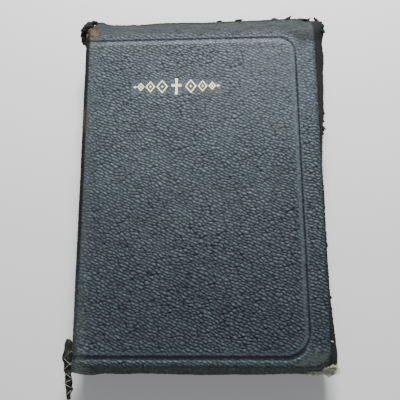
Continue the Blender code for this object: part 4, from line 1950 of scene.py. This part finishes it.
@dataclass
class TextBlock:
    """The sewn sections, the single leaves that turn, the fly-leaves and the hinge cloths."""

    materials: Materials
    half_height: float = 92.0
    corner: float = 9.0
    sections: int = 24
    turning_leaves: int = 3
    leaves_per_section: int = 7
    seed: int = 41

    def outline(self, back: float, fore: float, inset: float, wave: Callable[[Array], Array]) -> Array:
        """A leaf's outline in plan, with its fore-edge moved in or out a little along its length.

        Args:
            back: x of the fold.
            fore: x of the fore-edge.
            inset: how much smaller the leaf is than the rest.
            wave: how far the fore-edge stands out at each y.

        Returns:
            Its points in order.
        """
        half = self.half_height - inset
        radius = self.corner - inset
        angles = np.radians(np.linspace(0, 90, 9))
        side = np.linspace(-(half - radius), half - radius, 22)[1:-1]
        bottom = np.linspace(back, fore - radius, 10)[:-1]
        inner_x, inner_y = fore - radius, half - radius
        sine, cosine = radius * np.sin(angles), radius * np.cos(angles)
        lines = (
            (bottom, np.full(len(bottom), -half)),
            (inner_x + sine, -inner_y - cosine),
            (np.full(len(side), fore), side),
            (inner_x + cosine, inner_y + sine),
            (bottom[::-1], np.full(len(bottom), half)),
        )
        points = np.concatenate([np.stack(line, 1) for line in lines])
        points[:, 0] += wave(points[:, 1]) * (points[:, 0] > fore - radius - 1)
        return points

    def build(self) -> None:
        """Makes all of the paper."""
        pages = self.materials.pages
        for number in range(1, self.sections + 1):
            half = "front_half" if number <= self.sections // 2 else "rear_half"
            self._section(f"section_{number:02d}", half, number)
        for number in range(1, self.turning_leaves + 1):
            node = f"turning_leaf_{number}"
            self._leaf(node, pages)
        for side in Side:
            name = f"{side.value}_flyleaf"
            self._leaf(name, self.materials.endpaper)
            self._hinge_cloth(side)
        counts = self.sections, self.turning_leaves, len(Side)
        LOG.info("text block: %d sections, %d turning leaves, %d fly-leaves", *counts)

    def _section(self, node: str, body: str, number: int) -> None:
        """One gathering, with the edges of its leaves showing.

        Args:
            node: the CAD node that it stands for.
            body: the body that it rides on.
            number: its place from the front.
        """
        noise = Noise(self.seed + number)
        rng = np.random.default_rng(self.seed + number)
        low, high = (np.array(corner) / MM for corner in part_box(node))
        back, fore, bottom, top = low[0], high[0], low[2], high[2]
        pitch = (top - bottom) / self.leaves_per_section
        rings = []
        for leaf in range(self.leaves_per_section):
            shift = rng.uniform(-0.10, 0.06)
            place = (leaf + 0.5) / self.leaves_per_section
            fold = 0.42 * (abs(2 * place - 1)) ** 2
            for level, inset in ((0.0, 0.10), (0.22, 0.0), (0.78, 0.0)):

                def wave(y: Array, leaf: int = leaf, shift: float = shift) -> Array:
                    """How far this leaf's fore-edge stands out."""
                    return shift + 0.06 * noise.at(y, y * 0 + leaf, 9.0)

                ring = self.outline(back + fold, fore - inset, inset, wave)
                z = bottom + pitch * (leaf + level)
                rings.append(np.column_stack([ring, np.full(len(ring), z)]))
        ring = self.outline(back + 0.42, fore - 0.1, 0.1, lambda y: 0 * y)
        rings.append(np.column_stack([ring, np.full(len(ring), top)]))
        count = len(rings[0])
        faces = [list(range(count))[::-1], [(len(rings) - 1) * count + k for k in range(count)]]
        faces += ring_walls(len(rings), count)
        points = np.concatenate(rings)
        block = new_mesh(f"leaves_{node}", points, faces, self.materials.pages, smooth=False)
        cut = np.ones(len(block.data.polygons), np.float32)
        cut[:2] = 0.0
        block.data.attributes.new("cut", "FLOAT", "FACE").data.foreach_set("value", cut)
        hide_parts(node)
        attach(block, body)

    def _leaf(
        self, node: str, material: Material
    ) -> None:
        """A single flat leaf over the CAD node's box, with its fore corners rounded.

        Args:
            node: the CAD node that it stands for.
            material: its paper.
        """
        low, high = (np.array(corner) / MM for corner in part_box(node))
        columns, rows = 61, 5
        t = np.linspace(0, 1, columns)
        x = low[0] + (high[0] - low[0]) * t**1.15
        radius = self.corner
        past = np.clip((x - (high[0] - radius)) / radius, 0, 1)
        half = self.half_height - radius * (1 - np.sqrt(np.clip(1 - past**2, 0.0, 1)))
        s = np.linspace(-1, 1, rows)
        sheets = []
        for z in (high[2], low[2]):
            axes = np.broadcast_arrays(x[:, None], half[:, None] * s[None, :], np.array([[z]]))
            sheets.append(np.stack(axes, -1).reshape(-1, 3))
        points, faces = np.concatenate(sheets), slab_faces(columns, rows)
        leaf = new_mesh(f"curving_{node}", points, faces, material, smooth=False)
        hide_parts(node)
        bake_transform(leaf)

    def _hinge_cloth(self, side: Side) -> None:
        """The folded cloth that ties a cover to the text block.

        Args:
            side: the cover that it ties.
        """
        node = f"{side.value}_hinge_cloth"
        cloth = copy_node(node, "folded", self.materials.book_cloth)
        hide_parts(node)
        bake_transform(cloth)


# --- tatters


@dataclass
class Tatters:
    """Loose bits at the cover's cut edges: matted crumbs, frayed fibres, specks."""

    skin: CoverSkin
    materials: Materials
    seed: int = 61

    def build(self) -> None:
        """Makes all of them."""
        self._crumbs()
        self._frayed_corner()
        LOG.info("tatters: crumbs and frayed corner")

    def _at(self, u: float, v: float, depth: float = 0.0) -> Array:
        """The place of one point of the sheet."""
        return self.skin.place(np.array([u]), np.array([v]), np.array([depth]))[0]

    def _crumbs(self) -> None:
        """Dark lumps of torn leather along the head and the fore-edge."""
        rng = np.random.default_rng(self.seed)
        head_edge = zip(
            (21.0, 43.0, 50.5, 60.0, 63.5, 70.0, 9.0),
            (1.7, 1.4, 2.0, 2.3, 1.8, 2.0, 1.0),
        )
        fore_edge = zip(
            (99.0, 103.0, 47.0, 42.0, 37.5, 34.0, -31.0, -60.0),
            (2.2, 2.2, 1.7, 1.5, 2.2, 1.5, 1.5, 1.2),
        )
        parts = []
        for u, size in head_edge:
            v = PANEL_HALF_Y + float(self.skin.end_length(np.array(u), End.HEAD)) + 0.1
            tilt = (rng.uniform(-50, -20), rng.uniform(-20, 20), rng.uniform(-40, 40))
            crumb = (1.35 * size, 0.75 * size)
            parts.append(flake(rng, self._at(u, v, 0.3), crumb, tilt, 1.0))
        for v, size in fore_edge:
            u = self.skin.fore_x + float(self.skin.fore_length(np.array(min(v, 93.0)))) - 0.4
            if v > PANEL_HALF_Y - 2:
                u -= 0.15 * (v - PANEL_HALF_Y)
            tilt = (rng.uniform(-20, 20), rng.uniform(30, 60), rng.uniform(50, 130))
            crumb = (1.3 * size, 0.7 * size)
            parts.append(flake(rng, self._at(u, v, 0.3), crumb, tilt, 1.0))
        points, faces = join_parts(parts)
        crumbs = new_mesh("edge_crumbs", points, faces, self.materials.leather)
        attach(crumbs, "front_cover")

    def _fibre(
        self,
        start: tuple[float, float],
        heading: float,
        length: float,
        bow: float,
        lift: tuple[float, float],
        radius: float,
    ) -> Shape:
        """One bowed fibre on the leather.

        Args:
            start: where it begins, as u and how far past the panel's tail end.
            heading: the way it points, in degrees from the fore-edge.
            length: its length.
            bow: how far its middle is bent aside, as a share of its length.
            lift: how far it stands off the leather, at its ends and more at its middle.
            radius: its thickness.

        Returns:
            Points and faces of a closed mesh.
        """
        u, down = start
        turn = math.radians(heading)
        t = np.linspace(0, 1, 7)
        arch = np.sin(math.pi * t)
        aside = bow * arch
        path_u = u + length * (math.cos(turn) * t - math.sin(turn) * aside)
        path_v = -PANEL_HALF_Y - down + length * (math.sin(turn) * t + math.cos(turn) * aside)
        return tube(self.skin.place(path_u, path_v, -(lift[0] + lift[1] * arch)), radius, 4)

    def _frayed_corner(self) -> None:
        """Pale fibres where the leather has worn through at the tail's outer corner."""
        rng = np.random.default_rng(self.seed + 1)
        parts = []
        for _ in range(150):
            share = rng.uniform(0, 1) ** 0.7
            down = rng.uniform(4.0, 10.5) if share > 0.5 else rng.uniform(7.0, 10.5)
            ranges = ((-70, 60), (0.9, 2.6), (-0.5, 0.5))
            heading, length, bow = (rng.uniform(*ends) for ends in ranges)
            lift = 0.15, rng.uniform(0.1, 0.6)
            start = 53.0 + 17.0 * share, down
            parts.append(self._fibre(start, heading, length, bow, lift, rng.uniform(0.10, 0.22)))
        for _ in range(95):
            start = rng.uniform(66.0, 73.0), rng.uniform(5.0, 11.0)
            ranges = ((-110, 20), (1.5, 3.8), (-0.9, 0.9))
            heading, length, bow = (rng.uniform(*ends) for ends in ranges)
            lift = rng.uniform(-0.3, 0.5), rng.uniform(0.2, 0.9)
            parts.append(self._fibre(start, heading, length, bow, lift, rng.uniform(0.09, 0.20)))
        speck = self.skin.fore_x + float(self.skin.fore_length(np.array(-82.5))) - 8.6
        t = np.linspace(0, 1, 5)
        path = self.skin.place(speck + 1.8 * t, -82.5 - 0.6 * t, -0.25 - 0.3 * t)
        parts.append(tube(path, 0.38, 5))
        for _ in range(7):
            start = self._at(67.0 + 1.2 * rng.uniform(-1, 1), -99.0, 0.2)
            t = np.linspace(0, 1, 18)
            reach, bow = rng.uniform(4.0, 7.5), rng.uniform(0.8, 1.4)
            x = start[0] + reach * (0.8 * t + 0.5 * np.sin(math.pi * t * bow))
            y = start[1] + 1.5 - reach * 0.9 * t**1.4
            z = start[2] - rng.uniform(1.0, 4.0) * t
            parts.append(tube(np.stack([x, y, z], -1), 0.13, 4))
        points, faces = join_parts(parts)
        fray = new_mesh("frayed_corner", points, faces, self.materials.thread)
        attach(fray, "front_cover")


# --- studio


@dataclass
class Studio:
    """A plain pale floor, two soft lights, and the camera a reader's arm above the cover."""

    materials: Materials
    camera_at: tuple[float, float, float] = (4.1, -39.8, 250.7)
    camera_turn: tuple[float, float, float] = (8.61, 1.95, -0.32)
    lens: float = 36.0
    sensor: float = 36.0
    floor_z: float = -0.3
    floor_reach: float = 3000.0
    sky: Colour = (0.86, 0.90, 0.95)
    sky_strength: float = 0.22

    def build(self) -> None:
        """Makes the floor, the lights and the camera."""
        around = ((-1, -1), (1, -1), (1, 1), (-1, 1))
        points = [(x * self.floor_reach, y * self.floor_reach, self.floor_z) for x, y in around]
        floor = new_mesh("floor", points, [[0, 1, 2, 3]], self.materials.floor, smooth=False)
        places = (40.0, 620.0, 480.0), (0.0, 20.0, 20.0)
        self._light("head light", *places, 260.0, 14.5, (0.97, 0.985, 1.0))
        places = (0.0, -420.0, 620.0), (0.0, 0.0, 10.0)
        self._light("fill light", *places, 500.0, 1.0, (0.93, 0.96, 1.0))
        world = bpy.data.worlds.new("studio")
        world.use_nodes = True
        background = world.node_tree.nodes["Background"]
        background.inputs["Color"].default_value = (*self.sky, 1.0)
        background.inputs["Strength"].default_value = self.sky_strength
        bpy.context.scene.world = world
        camera_data = bpy.data.cameras.new("camera")
        camera_data.lens = self.lens
        camera_data.sensor_width = self.sensor
        camera_data.clip_start = 0.01
        camera = bpy.data.objects.new("camera", camera_data)
        camera.location = Vector(self.camera_at) * MM
        camera.rotation_euler = Euler([math.radians(a) for a in self.camera_turn])
        bpy.context.scene.collection.objects.link(camera)
        bpy.context.scene.camera = camera
        LOG.info("studio: floor, two lights, camera")

    def _light(
        self,
        name: str,
        at: Sequence[float],
        towards: Sequence[float],
        size: float,
        watts: float,
        colour: Colour,
    ) -> None:
        """A square soft light.

        Args:
            name: the light's name.
            at: its place.
            towards: the point it faces.
            size: length of its side.
            watts: its power.
            colour: its colour.
        """
        data = bpy.data.lights.new(name, "AREA")
        data.energy = watts
        data.size = size * MM
        data.color = colour
        lamp = bpy.data.objects.new(name, data)
        lamp.location = Vector(at) * MM
        lamp.rotation_euler = (Vector(towards) - Vector(at)).to_track_quat("-Z", "Y").to_euler()
        bpy.context.scene.collection.objects.link(lamp)


def main() -> None:
    """Builds every piece of the book, then the studio round it."""
    logging.basicConfig(level=logging.INFO, format="%(name)s: %(message)s")
    materials = Materials()
    front = CoverSkin(Side.FRONT)
    rear = CoverSkin(Side.REAR, step=0.9, grain=0.36, seed=12)
    Cover(front, materials).build()
    Cover(rear, materials).build()
    Ornament(front, materials).build()
    Spine(materials).build()
    TextBlock(materials).build()
    Tatters(front, materials).build()
    Studio(materials).build()


if __name__ == "__main__":
    main()
